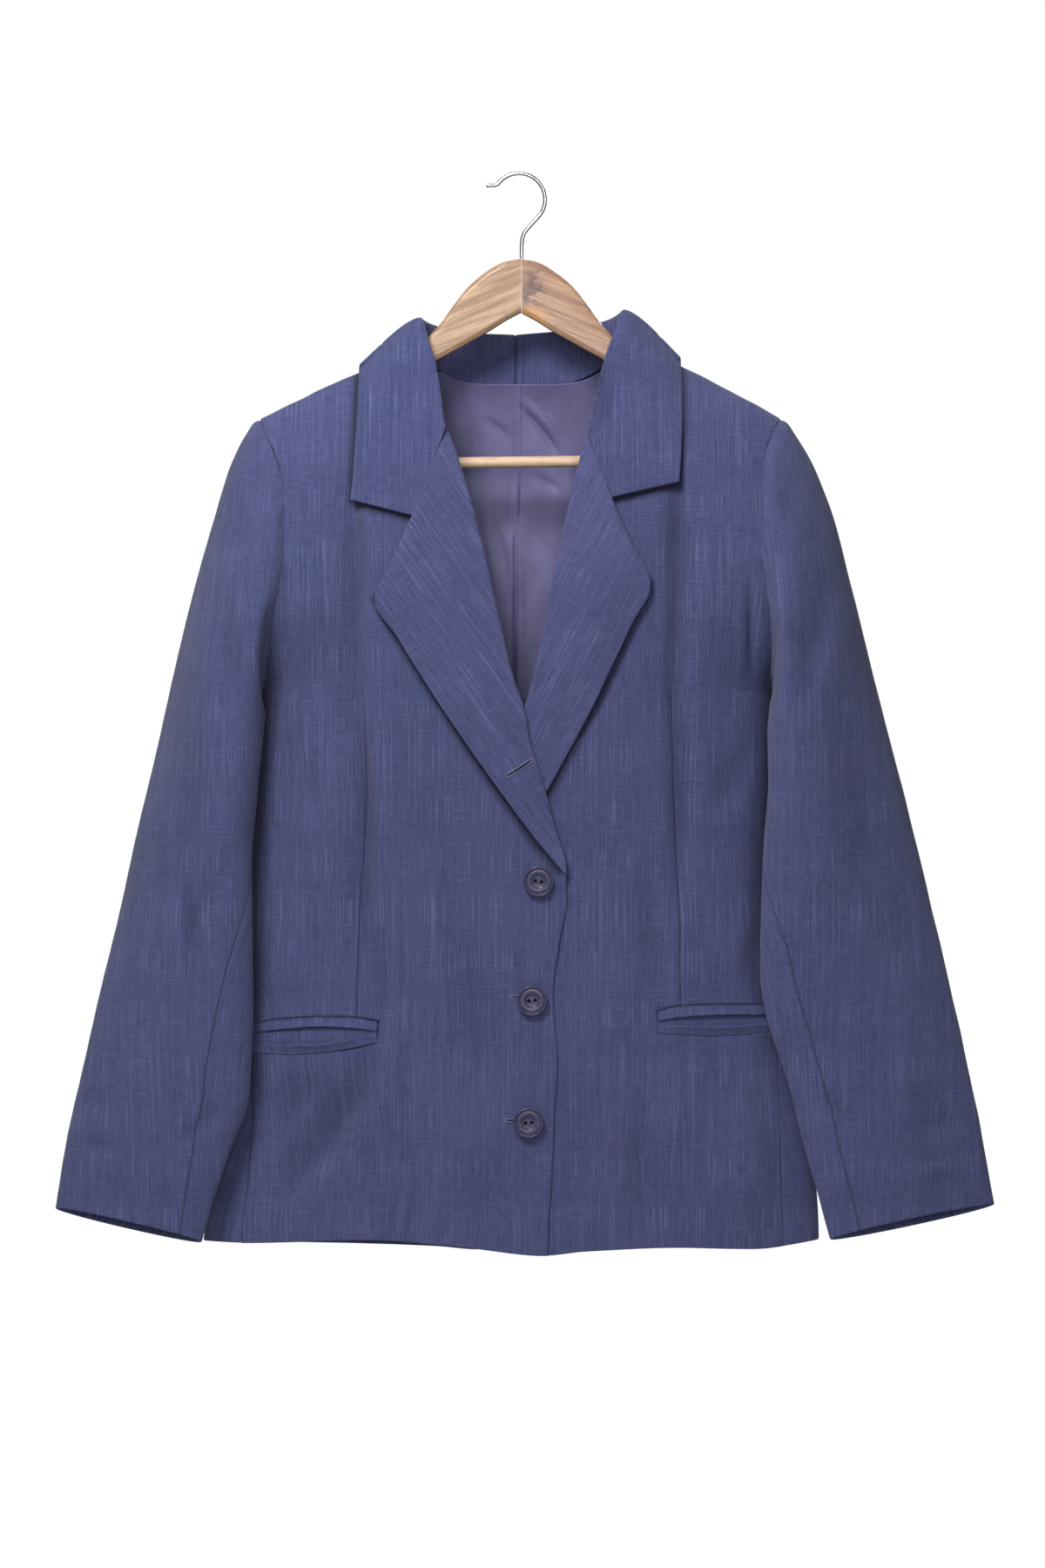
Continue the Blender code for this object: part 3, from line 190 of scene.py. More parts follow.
LAPEL_HEADER = "share roll_z outer_x outer_z"
LAPELS = {
    Side.RIGHT: Rows(LAPEL_HEADER, """
        0 -196 -79.4 -262, 10 -220 -93 -291.5, 20 -248 -106.9 -323.1, 32 -290 -90.5 -351, 45 -340 -68 -388,
        60 -400 -36.6 -435.8, 75 -450 -13.1 -469.8, 88 -499 11 -503, 95 -516 22.8 -517.2,
        100 -529 32.7 -528.7"""),
    Side.LEFT: Rows(LAPEL_HEADER, """
        0 -200.5 66 -247.6, 10 -223 80.5 -280, 20 -248 95 -312.3, 32 -290 81.5 -341, 45 -340 64 -379,
        60 -400 40 -430, 75 -450 19.6 -467.5, 90 -500 2 -496, 100 -526 -8.5 -518""")}
POCKET_HEADER = "reach upper_seam mouth welt_top lower_seam"
POCKETS = {
    Side.RIGHT: Rows(POCKET_HEADER, """
        109.4 -639.4 -647.4 -648.4 -656.4, 129 -636.6 -645 -653.5 -660.5, 149 -636.2 -644.2 -656.8 -663.8,
        178.1 -637.8 -646.2 -657.8 -665.6, 204 -642 -649.4 -656 -664"""),
    Side.LEFT: Rows(POCKET_HEADER, """
        104.8 -631.6 -639.6 -641.8 -649.2, 119.2 -628.2 -637.2 -643 -650.2, 153.2 -627 -635.4 -643.6 -651.2,
        187 -627.6 -635.8 -641.4 -648.8, 196 -628 -636.2 -640.4 -648""")}
DARTS = {
    Side.RIGHT: Rows("height x", """
        -639 -124.3, -570 -124.9, -536 -123.6, -495 -121.6, -453 -120.3, -390 -119.7, -350 -119.7"""),
    Side.LEFT: Rows("height x", """
        -629 121.9, -559 121, -512 120.3, -466 118.4, -412 117.1, -350 116.4""")}
LAPEL_BREAK = -0.526
CREASE_HEADER = "x_start z_start x_end z_end width depth"


@dataclass(frozen=True)
class Creases:
    """Soft troughs of cloth, as lines in the front view; a negative depth is a ridge."""

    lines: str
    strength: float = 2.0
    full_shade: float = 0.0036
    most_shade: float = 0.21
    bow: float = 1 / 36
    lean: float = 0.25
    taper: float = 1.5

    def relief(self, x: Array, z: Array) -> Array:
        """Depth of all the troughs at places of the front view.

        Each is a bell curve across its line times a half sine along it, a little
        steeper on one flank, and its line bows by a small share of its length.

        Args:
            x: places across.
            z: heights.

        Returns:
            How far the cloth lies under its even surface.
        """
        relief = np.zeros(np.broadcast(x, z).shape)
        lines = Rows(CREASE_HEADER, self.lines).columns.values()
        for x_start, z_start, x_end, z_end, width, depth in zip(*lines):
            run_x, run_z = x_end - x_start, z_end - z_start
            length = np.hypot(run_x, run_z)
            dx, dz = x - x_start, z - z_start
            along = np.clip((dx * run_x + dz * run_z) / length ** 2, 0, 1)
            bow = length * self.bow * np.sin(np.pi * along) ** 2
            off = (dx * run_z - dz * run_x) / length + bow
            flank = width * (1 + self.lean * np.tanh(off / width))
            relief += self.strength * depth * hump(off, flank) * np.sin(np.pi * along) ** self.taper
        return relief

    def shade(self, relief: Array) -> Array:
        """Share of seam shade in a trough, up to a fifth: less light reaches its bed."""
        return self.most_shade * ease(relief / (self.strength * self.full_shade))


@dataclass(frozen=True)
class Figure:
    """The form of the hanging body: flattened rings that run up into the shoulders."""

    drop_front: float = 0.200
    drop_back: float = 0.110
    rounding: float = 0.012
    power: float = 2.4
    underarm: float = -0.392
    armhole_depth: float = 0.85
    armhole_rise: float = 0.075
    armhole_power: float = 1.35
    calm_overlap: float = 0.04
    calm_run: float = 0.20
    calm_centre: float = 0.5
    calm_flank: float = 0.45
    seam_turn: float = math.radians(31)
    seam_fall: float = 0.400

    def shoulder(self, x: Values) -> Array:
        """Height of the shoulder's ridge, level across the neck."""
        return SHOULDER.by_side(x, np.abs(x))

    def half_width(self, x: Array, z: Array) -> Array:
        """Half width of a ring; beside the armhole its edge keeps a share of the depth."""
        rise = np.clip((z - self.underarm) / self.armhole_rise, 0, 1) ** self.armhole_power
        share = self.armhole_depth * np.sqrt(1 - (1 - rise) ** 2)
        squeeze = (1 - share ** self.power) ** (1 / self.power)
        return np.where(z < self.underarm, BODY.by_side(x, z), ARMHOLE.by_side(x, z) / squeeze)

    def chest_width(self, x: Array, z: Array) -> Array:
        """Half width for the depths: calm near the centre, the ring's own at the armhole."""
        width = self.half_width(x, z)
        fall = ease((z - self.underarm + self.calm_overlap) / self.calm_run) ** 2
        calm = BODY.by_side(x, z) / (1 - self.armhole_depth ** self.power * fall) ** (1 / self.power)
        reach = np.abs(x) / ARMHOLE.by_side(x, z)
        return width + (calm - width) * (1 - ease((reach - self.calm_centre) / self.calm_flank))

    def points(self, x: Array, z: Array, facing: Array | int, depth: Values) -> Array:
        """Points of the body at a depth under its face.

        The depth from front to back is the table's, times the root of a sine of the
        fall below the shoulder, times (1 - (x / width)^p)^(1 / p).

        Args:
            x: places across.
            z: heights.
            facing: FRONT or BACK for each place.
            depth: how far under the face.

        Returns:
            The points, with their three coordinates on the last axis.
        """
        width = self.chest_width(x, z)
        share = np.minimum(np.abs(x) / width, 1)
        ridge = self.shoulder(x) - depth
        drop = np.where(facing == FRONT, self.drop_front, self.drop_back)
        rise = np.sqrt(np.sin(0.5 * np.pi * np.clip((ridge - z + depth) / drop, 0, 1)))
        full = np.where(facing == FRONT, BODY.at("front", z), BODY.at("back", z))
        y = facing * (full - depth) * rise * (1 - share ** self.power) ** (1 / self.power)
        top = 1 - ease((ridge + depth - z) / self.rounding)
        return stack(x * (1 - depth / width), y, z - depth * top)

    def turn_of(self, x: Array, z: Array, side: Side) -> Array:
        """Angle round the ring from the silhouette of a side to x."""
        share = np.minimum(np.abs(x) / self.half_width(x, z), 1)
        return np.arccos(np.sign(x * side.value) * share ** (self.power / 2))

    def turned_x(self, turn: Array, z: Array, side: Side) -> Array:
        """The x at an angle round the ring, counted from the silhouette of a side."""
        cosine = np.cos(turn)
        share = np.sign(cosine) * np.abs(cosine) ** (2 / self.power)
        return side.value * share * self.half_width(side.value * np.sign(share + TINY), z)

    def seam_angle(self, z: Array) -> Array:
        """Angle of the side seam: on the silhouette at the underarm, forward at the hem."""
        return self.seam_turn * ease((self.underarm - z) / self.seam_fall)

    def side_x(self, z: Array, side: Side) -> Array:
        """The x of a panel's side edge: the armhole's edge, then the side seam."""
        return np.where(z > self.underarm + SMALL, side.value * ARMHOLE.at(side.word, z),
                        self.turned_x(self.seam_angle(z), z, side))

    def armhole_top(self, side: Side) -> float:
        """Height of the shoulder at the armhole's upper end."""
        return self.shoulder(side.value * ARMHOLE.columns[side.word][-1])

    def rows(self, side: Side, down: Array, top: float, side_hem: float,
             edge_hem: float) -> tuple[Array, Array]:
        """Heights of a panel's rows.

        Args:
            side: the side.
            down: 0 to 1 beside the armhole, 1 to 2 below the underarm.
            top: height of the centre edge's upper end.
            side_hem: height of the hem at the side.
            edge_hem: height of the hem at the centre edge.

        Returns:
            The heights at the centre edge and at the side.
        """
        beside, skirt = self.shares(down)
        ends = ((top, edge_hem), (self.armhole_top(side), side_hem))
        return tuple(start + (self.underarm - start) * beside + (hem - self.underarm) * skirt
                     for start, hem in ends)

    def shares(self, down: Array) -> tuple[Array, Array]:
        """Shares of the way down the armhole, by a cosine, and down the skirt."""
        return (1 - np.cos(np.pi * np.minimum(down, 1))) / 2, np.maximum(down - 1, 0)


FIGURE = Figure()


@dataclass(frozen=True)
class Overlap:
    """How the left front sinks behind the right one, more where a lapel runs between."""

    sink: float = 0.0023
    lapel_sink: float = 0.0030
    lapel_low: float = -0.545
    lapel_high: float = -0.370
    lapel_fade: float = 0.019
    full_reach: float = 0.004
    fade: float = 0.055

    def depth(self, x: Array, z: Array) -> Array:
        """Depth of the sinking at places of the front view."""
        reach = x - FRONT_EDGE.at("right", z)
        between = (ease((z - self.lapel_low) / self.lapel_fade)
                   * ease((self.lapel_high - z) / self.lapel_fade))
        return (self.sink + self.lapel_sink * between) * (
            1 - ease((reach - self.full_reach) / self.fade))


OVERLAP = Overlap()
SLACK_WAVES = (                # height, then turns in radians a metre and the start of two sines
    (0.00030, (61, 17, 1.3), (9, 23, 0.0)),
    (0.00022, (113, -31, 0.4), (21, 47, 2.0)),
    (0.00012, (240, 90, 0.0), (-60, 130, 1.0)))


def slack(x: Array, z: Array) -> Array:
    """Faint unevenness of hanging cloth: long crossed waves of a few tenths of a millimetre."""
    return sum(high * np.prod([np.sin(a * x + b * z + c) for a, b, c in waves], axis=0)
               for high, *waves in SLACK_WAVES)


CLUSTER = np.array((-4, -2.6, -1.6, -1, -.55, -.2, .2, .55, 1, 1.6, 2.6, 4))
BORDER_TURNS = np.radians((0, 25, 50, 72, 90))
LEAST_STEP = 2e-5


@dataclass(frozen=True)
class Run:
    """A run of points: its even steps, its real length and the radius of its rounded ends."""

    count: int
    length: float
    radius: float = 0.0011
    border: float = 1.5

    def shares(self, *clusters: tuple[float, float]) -> Array:
        """Even shares from 0 to 1 with more of them at both ends and at given places.

        Args:
            clusters: (place, spread) pairs, each adding a close group of shares.

        Returns:
            The rising shares.
        """
        edge = self.radius / self.length * (1 - np.cos(BORDER_TURNS))
        inner = np.linspace(0, 1, self.count + 1)
        clear = self.border * edge[-1]
        parts = [edge, 1 - edge, inner[(inner > clear) & (inner < 1 - clear)]]
        parts += [place + spread / self.length * CLUSTER for place, spread in clusters]
        shares = np.unique(np.concatenate(parts))
        return shares[np.concatenate(((True,), np.diff(shares) > LEAST_STEP / self.length))]


def arc_length(points: Array, axis: int) -> Array:
    """Running length of a grid's lines along one of its axes."""
    step = np.linalg.norm(np.diff(points, axis=axis), axis=-1)
    zero = np.zeros_like(np.take(step, (0,), axis=axis))
    return np.concatenate((zero, np.cumsum(step, axis=axis)), axis=axis)


def plan_length(points: Array) -> Array:
    """Running length of a grid's rows seen from above."""
    return arc_length(points * (1, 1, 0), 1)


def grid_normals(points: Array) -> Array:
    """Unit normals of a grid, from the directions of its two families of lines."""
    normal = np.cross(np.gradient(points, axis=1), np.gradient(points, axis=0))
    return normal / np.maximum(np.linalg.norm(normal, axis=-1, keepdims=True), TINY)


def grid_quads(index: Array) -> Array:
    """Quads between neighbouring points of a grid of indices."""
    return stack(index[:-1, :-1], index[:-1, 1:], index[1:, 1:], index[1:, :-1]).reshape(-1, 4)


def make_piece(name: str, points: Array, quads: Array, cut: Array | None = None) -> Piece:
    """Object from points and quads, turned so that its faces point outwards.

    The signed volume is the sum of each quad's two tetrahedra with the origin; where
    it is negative every face is turned round.

    Args:
        name: name of the piece.
        points: its points, in metres.
        quads: four indices for each face.
        cut: place of each point on the flat cloth, in metres.

    Returns:
        The new object, smooth shaded.
    """
    a, b, c, d = (points[quads[:, i]] for i in range(4))
    if np.sum(a * np.cross(b, c)) + np.sum(a * np.cross(c, d)) < 0:
        quads = quads[:, ::-1]
    mesh = bpy.data.meshes.new(name)
    mesh.vertices.add(len(points))
    mesh.vertices.foreach_set("co", points.ravel())
    mesh.loops.add(quads.size)
    mesh.loops.foreach_set("vertex_index", quads.ravel())
    mesh.polygons.add(len(quads))
    mesh.polygons.foreach_set("loop_start", np.arange(0, quads.size, 4))
    mesh.update(calc_edges=True)
    if cut is not None:
        layer = mesh.uv_layers.new(name="cut")
        layer.data.foreach_set("uv", cut[quads.ravel()].astype(np.float32).ravel())
    mesh.shade_smooth()
    piece = bpy.data.objects.new(name, mesh)
    bpy.context.scene.collection.objects.link(piece)
    return piece


def fit_frame(piece: Piece, slot: str, finish: "Finish", *nodes: str) -> Piece:
    """Let a piece ride on the body with its finish, and stand for its nodes."""
    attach(piece, "root")
    if nodes:
        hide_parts(*nodes)
    piece.data.materials.append(finish.material())
    return piece


@dataclass
class Cloth:
    """A piece of cloth: a middle surface with a pressed, rounded border.

    Its seams are (axis, end) pairs of the grid's borders that are sewn to a neighbour; there, in its groove
    and where its shade says, painted seam shade darkens its colour.
    """

    name: str
    middle: Array
    cut: Array
    thickness: float = 0.0016
    edge: float = 0.0011
    groove: Values = 0.0
    shade: Values = 0.0
    outer_skin: int = 0
    seams: tuple[tuple[int, int], ...] = ()
    # painted seam shade: its width and share at the sewn borders, and its share in a groove
    seam_width: float = 0.0009
    seam_share: float = 0.6
    groove_shade_share: float = 0.34
    groove_press: float = 1.6
    least_flat: float = 0.0101    # just over the least side that the frame takes, 10 mm

    def fullness(self) -> Array:
        """Share of the thickness: a quarter circle of the distance from the border."""
        across, down = arc_length(self.middle, 1), arc_length(self.middle, 0)
        near = np.minimum(np.minimum(across, across[:, -1:] - across),
                          np.minimum(down, down[-1:] - down))
        full = np.sqrt(1 - (1 - np.minimum(near / self.edge, 1)) ** 2)
        full[[0, -1]] = 0
        full[:, [0, -1]] = 0
        return full

    def painted_seam_shade(self) -> Array:
        """Share of painted seam shade at each point: in the groove, at the borders sewn to a neighbour, and
        the given shade.
        """
        seam = np.broadcast_to(np.maximum(self.groove_shade_share * self.groove, self.shade),
                               self.middle.shape[:2])
        for axis, side in self.seams:
            run = arc_length(self.middle, axis)
            near = hump(run - np.take(run, [side], axis=axis), self.seam_width)
            seam = np.maximum(seam, self.seam_share * near)
        return seam

    def build(self) -> Piece:
        """Two skins, half the thickness to each side of the middle, joined at the border.

        The outer skin is pressed under the middle in a groove; the attribute "seam"
        keeps the share of painted seam shade of each of its points.
        """
        rows, columns = self.middle.shape[:2]
        shift = grid_normals(self.middle) * (self.fullness() * self.thickness / 2)[..., None]
        pressed = 1 - self.groove_press * np.broadcast_to(self.groove, (rows, columns))[..., None]
        index = np.arange(rows * columns).reshape(rows, columns)
        inner = index.copy()
        inner[1:-1, 1:-1] = rows * columns + np.arange((rows - 2) * (columns - 2)).reshape(
            rows - 2, columns - 2)
        skins = [self.middle + shift, self.middle - shift]
        skins[self.outer_skin] = self.middle + shift * pressed * (1 - 2 * self.outer_skin)
        seam = self.painted_seam_shade()
        points, cut, seam = (
            np.concatenate((outside.reshape(-1, size), inside[1:-1, 1:-1].reshape(-1, size)))
            for outside, inside, size in ((*skins, 3), (self.cut, self.cut, 2), (seam, seam, 1)))
        quads = np.concatenate((grid_quads(index), grid_quads(inner)[:, ::-1]))
        piece = make_piece(self.name, points, quads, cut)
        piece.data.attributes.new("seam", "FLOAT", "POINT").data.foreach_set(
            "value", seam.astype(np.float32).ravel())
        return piece

    def hang(self, finish: "Finish", node: str, *rests_on: str, slot: str = "slate_cloth") -> None:
        """Build the cloth, fit it to its node and state its cut: longest lines and area.

        The welts, 8 to 9 mm wide, are stated at the least side that the frame takes.

        Args:
            finish: what it is made of.
            node: the node that it stands for.
            rests_on: what it hangs from or lies on; not used.
            slot: its slot; not used.
        """
        piece = fit_frame(self.build(), slot, finish, node)
        width, length = (float(arc_length(self.middle, axis).max()) for axis in (1, 0))
        step = np.cross(np.diff(self.middle, axis=1)[:-1], np.diff(self.middle, axis=0)[:, :-1])
        area = float(np.linalg.norm(step, axis=-1).sum())
        flat = (max(width, self.least_flat), max(length, self.least_flat))
        LOG.info("%s is cut %.0f x %.0f mm, %.1f square cm", self.name, flat[0] * 1e3,
                 flat[1] * 1e3, area * 1e4)


@dataclass
class Fronts:
    """Right and left front: one piece each, with a dart and a slit for the pocket."""

    thickness: float = 0.0016
    edge: float = 0.0011
    neck_point: float = 0.078
    edge_hem: float = -0.815
    side_hem: float = 0.200
    beside: Run = Run(84, 0.265)
    below: Run = Run(110, 0.425)
    across: Run = Run(112, 0.25)
    roll_back: float = 0.0022
    roll_high: float = -0.20
    roll_fades: tuple[float, float] = (0.05, 0.01)
    roll_reach: float = 0.02
    dart_place: float = 0.42
    dart_bounds: tuple[float, float] = (0.2, 0.7)
    dart_middle: float = 1.2
    dart_run: float = 0.75
    dart_full: float = 1.4
    dart_spread: float = 0.0007
    dart_width: float = 0.0007
    dart_hollow: float = 0.0009
    dart_flank: float = 0.005
    dart_tip: float = -0.365
    dart_fades: tuple[float, float] = (0.004, 0.05)
    # painted seam shade along the pocket's seams: its width, and its fade at the pocket's near end
    seam_width: float = 0.0009
    seam_fade: float = 0.002
    recess: float = 0.0034
    slit_wall: float = 0.0009
    slit_end: float = 0.0012
    pocket_shade: float = 0.65
    pocket_spread: float = 0.0006
    pocket_middle: float = 0.150
    pocket_half: float = 0.060
    pocket_fade: float = 0.02
    pocket_range: float = 0.1
    pocket_rows: dict[Side, tuple[float, float]] = field(default_factory=lambda: {
        Side.RIGHT: (0.588, 0.654), Side.LEFT: (0.566, 0.621)})
    # painted shade on the side seam, by side
    seam_share: dict[Side, float] = field(default_factory=lambda: {Side.RIGHT: 0.5, Side.LEFT: 0.1})
    creases: Creases = Creases("""
        -136.5 -165 -130 -430 10 4, 116 -165 118 -430 9.5 4.5, -129 -350 -123.5 -635 10 3.8,
        116.5 -350 121.5 -575 9.5 3, -116 -545 -105 -675 10 2.2, -108 -655 -195 -790 16 5.8,
        -148 -662 -206 -742 13 3, -99 -625 -100 -745 9 -2.2, -87 -748 -103 -814 3.5 1,
        -80 -745 -96 -814 4.8 -1.6, -56 -520 -24 -760 11 2.2, -36 -560 -9 -720 7 1.5,
        -42 -640 -18 -800 8 -1.3, 82 -520 112 -640 13 2.2, 172.5 -285 177.5 -395 6 3.6,
        90 -690 94 -815 17 2.2, -155 -690 -161 -815 18 -2, 165 -670 171 -812 19 -2,
        -164 -262 -156 -420 11 1.2, 162 -262 154 -410 11 1.1, -183 -420 -150 -500 11 1.5,
        176 -420 145 -495 11 1.4, -25 -735 -37 -815 11 1.3, -190 -560 -164 -630 12 -1.4,
        175 -540 150 -610 12 -1.2, 45 -655 56 -800 15 1.1""")

    def places(self, side: Side) -> tuple[Array, Array]:
        """Places of a front's points as x and height, from its edge to the side seam.

        A column's share is of the turn round the body; the shares are bent in each row
        so that one crowded group of columns follows the dart, and the rows are bent in
        each column so that two crowded groups follow the pocket's seams.

        Args:
            side: which front.

        Returns:
            The x and the height of each point.
        """
        groups = [(place, self.pocket_spread) for place in self.pocket_rows[side]]
        down = np.concatenate((self.beside.shares(), 1 + self.below.shares(*groups)[1:]))
        across = self.across.shares((self.dart_place, self.dart_spread))
        neck = FIGURE.shoulder(side.value * self.neck_point)
        edge_hem = HEM.at("front", FRONT_EDGE.at(side.word, self.edge_hem))
        flank_hem = HEM.at("front", side.value * self.side_hem)
        edge, flank = FIGURE.rows(side, down, neck, flank_hem, edge_hem)
        edge_x, flank_x = FRONT_EDGE.at(side.word, edge), FIGURE.side_x(flank, side)
        start, stop = FIGURE.turn_of(edge_x, edge, side), FIGURE.turn_of(flank_x, flank, side)
        dart_z = (edge + flank) / 2
        dart = (FIGURE.turn_of(DARTS[side].at("x", dart_z), dart_z, side) - start) / (stop - start)
        near = ease(self.dart_full - np.abs(down - self.dart_middle) / self.dart_run)
        dart = np.clip(dart, *self.dart_bounds) - self.dart_place
        dart = (self.dart_place + dart * near)[:, None]
        share = np.where(across <= self.dart_place, dart * across / self.dart_place,
                         1 - (1 - dart) * (1 - across) / (1 - self.dart_place))
        line = edge[:, None] + (flank - edge)[:, None] * share
        x = FIGURE.turned_x(start[:, None] + (stop - start)[:, None] * share, line, side)
        x[:, 0], x[:, -1] = edge_x, flank_x
        beside, skirt = (part[:, None] for part in FIGURE.shares(down))
        weight = np.where(down[:, None] < 1, ease(1 - beside), 0)
        height = line + (FIGURE.shoulder(x) - line[0]) * weight
        height += (HEM.at("front", x) - line[-1]) * skirt ** 2
        return x, self.follow_pocket(side, x, height, skirt)

    def follow_pocket(self, side: Side, x: Array, z: Array, skirt: Array) -> Array:
        """Shift rows so that the two crowded groups run along the pocket's seams.

        Args:
            side: which front.
            x: places across.
            z: heights.
            skirt: share of the way from underarm to hem of each row.

        Returns:
            The shifted heights.
        """
        reach = np.abs(x)
        upper, lower = self.pocket_rows[side]
        for place, name, sign in ((upper, "upper_seam", 1), (lower, "lower_seam", -1)):
            row = int(np.argmin(np.abs(skirt[:, 0] - place)))
            step = POCKETS[side].at(name, reach[row]) - z[row]
            away = np.where((skirt - place) * sign > 0, lower - upper, self.pocket_range)
            near = ease(1 - np.abs(skirt - place) / away)
            beyond = np.abs(reach - self.pocket_middle) - self.pocket_half
            z = z + step * near * ease(1 - beyond / self.pocket_fade)
        return z

    def slit(self, side: Side, x: Array, z: Array) -> Array:
        """Depth of the pocket's bed: steep sides along its two seams and at its ends."""
        rows, reach = POCKETS[side], np.abs(x)
        near, far = rows.columns["reach"][[0, -1]]
        along = (ease((reach - near + self.slit_end / 2) / self.slit_end + 0.5)
                 * ease((far + self.slit_end / 2 - reach) / self.slit_end + 0.5))
        under = self.slit_wall / 3
        upper = ease((rows.at("upper_seam", reach) + under - z) / self.slit_wall + 0.5)
        lower = ease((z - rows.at("lower_seam", reach) + under) / self.slit_wall + 0.5)
        return self.recess * along * upper * lower

    def dart(self, side: Side, x: Array, z: Array, width: float) -> Array:
        """Bell curve across the dart, fading out at the bust."""
        rows = DARTS[side]
        low, high = self.dart_fades
        run = ease((z - rows.columns["height"][0]) / low) * ease((self.dart_tip - z) / high)
        return run * hump(x - rows.at("x", z), width)

    def pocket_seam_shade(self, side: Side, x: Array, z: Array) -> Array:
        """Share of painted seam shade beside the pocket's two seams."""
        rows, reach = POCKETS[side], np.abs(x)
        along = ease((reach - rows.columns["reach"][0]) / self.seam_fade + 0.5)
        return along * np.maximum(*(hump(z - rows.at(name, reach), self.seam_width)
                                    for name in ("upper_seam", "lower_seam")))

    def build(self) -> None:
        """The body's face, sunk by half the wall, the creases and the cuts.

        Under a lapel's roll the edge is drawn back to lie inside it.
        """
        for side in Side:
            x, z = self.places(side)
            low, high = self.roll_fades
            rolled = ease((z - LAPEL_BREAK) / low) * ease((self.roll_high - z) / high)
            near = ease(1 - np.abs(x - FRONT_EDGE.at(side.word, z)) / self.roll_reach)
            x = x + side.value * self.roll_back * rolled * near
            relief = self.creases.relief(x, z)
            depth = self.thickness / 2 + relief + slack(x, z) + self.slit(side, x, z)
            depth = depth + self.dart_hollow * self.dart(side, x, z, self.dart_flank)
            if side is Side.LEFT:
                depth = depth + OVERLAP.depth(x, z)
            even = FIGURE.points(x, z, FRONT, self.thickness / 2)
            # painted shade along the pocket's seams and in the troughs; the dart's groove and the side seam
            # get painted seam shade too
            shade = np.maximum(self.pocket_shade * self.pocket_seam_shade(side, x, z),
                               self.creases.shade(relief))
            cloth = Cloth("front_%s_cloth" % side.word, FIGURE.points(x, z, FRONT, depth),
                          stack(x[:, :1] + side.value * plan_length(even), z), self.thickness,
                          self.edge, self.dart(side, x, z, self.dart_width), shade,
                          int(side is Side.LEFT), ((1, -1),), seam_share=self.seam_share[side])
            cloth.hang(FRONT_CLOTH, "front_" + side.word, "hanger_arm_%s_wood" % side.word)


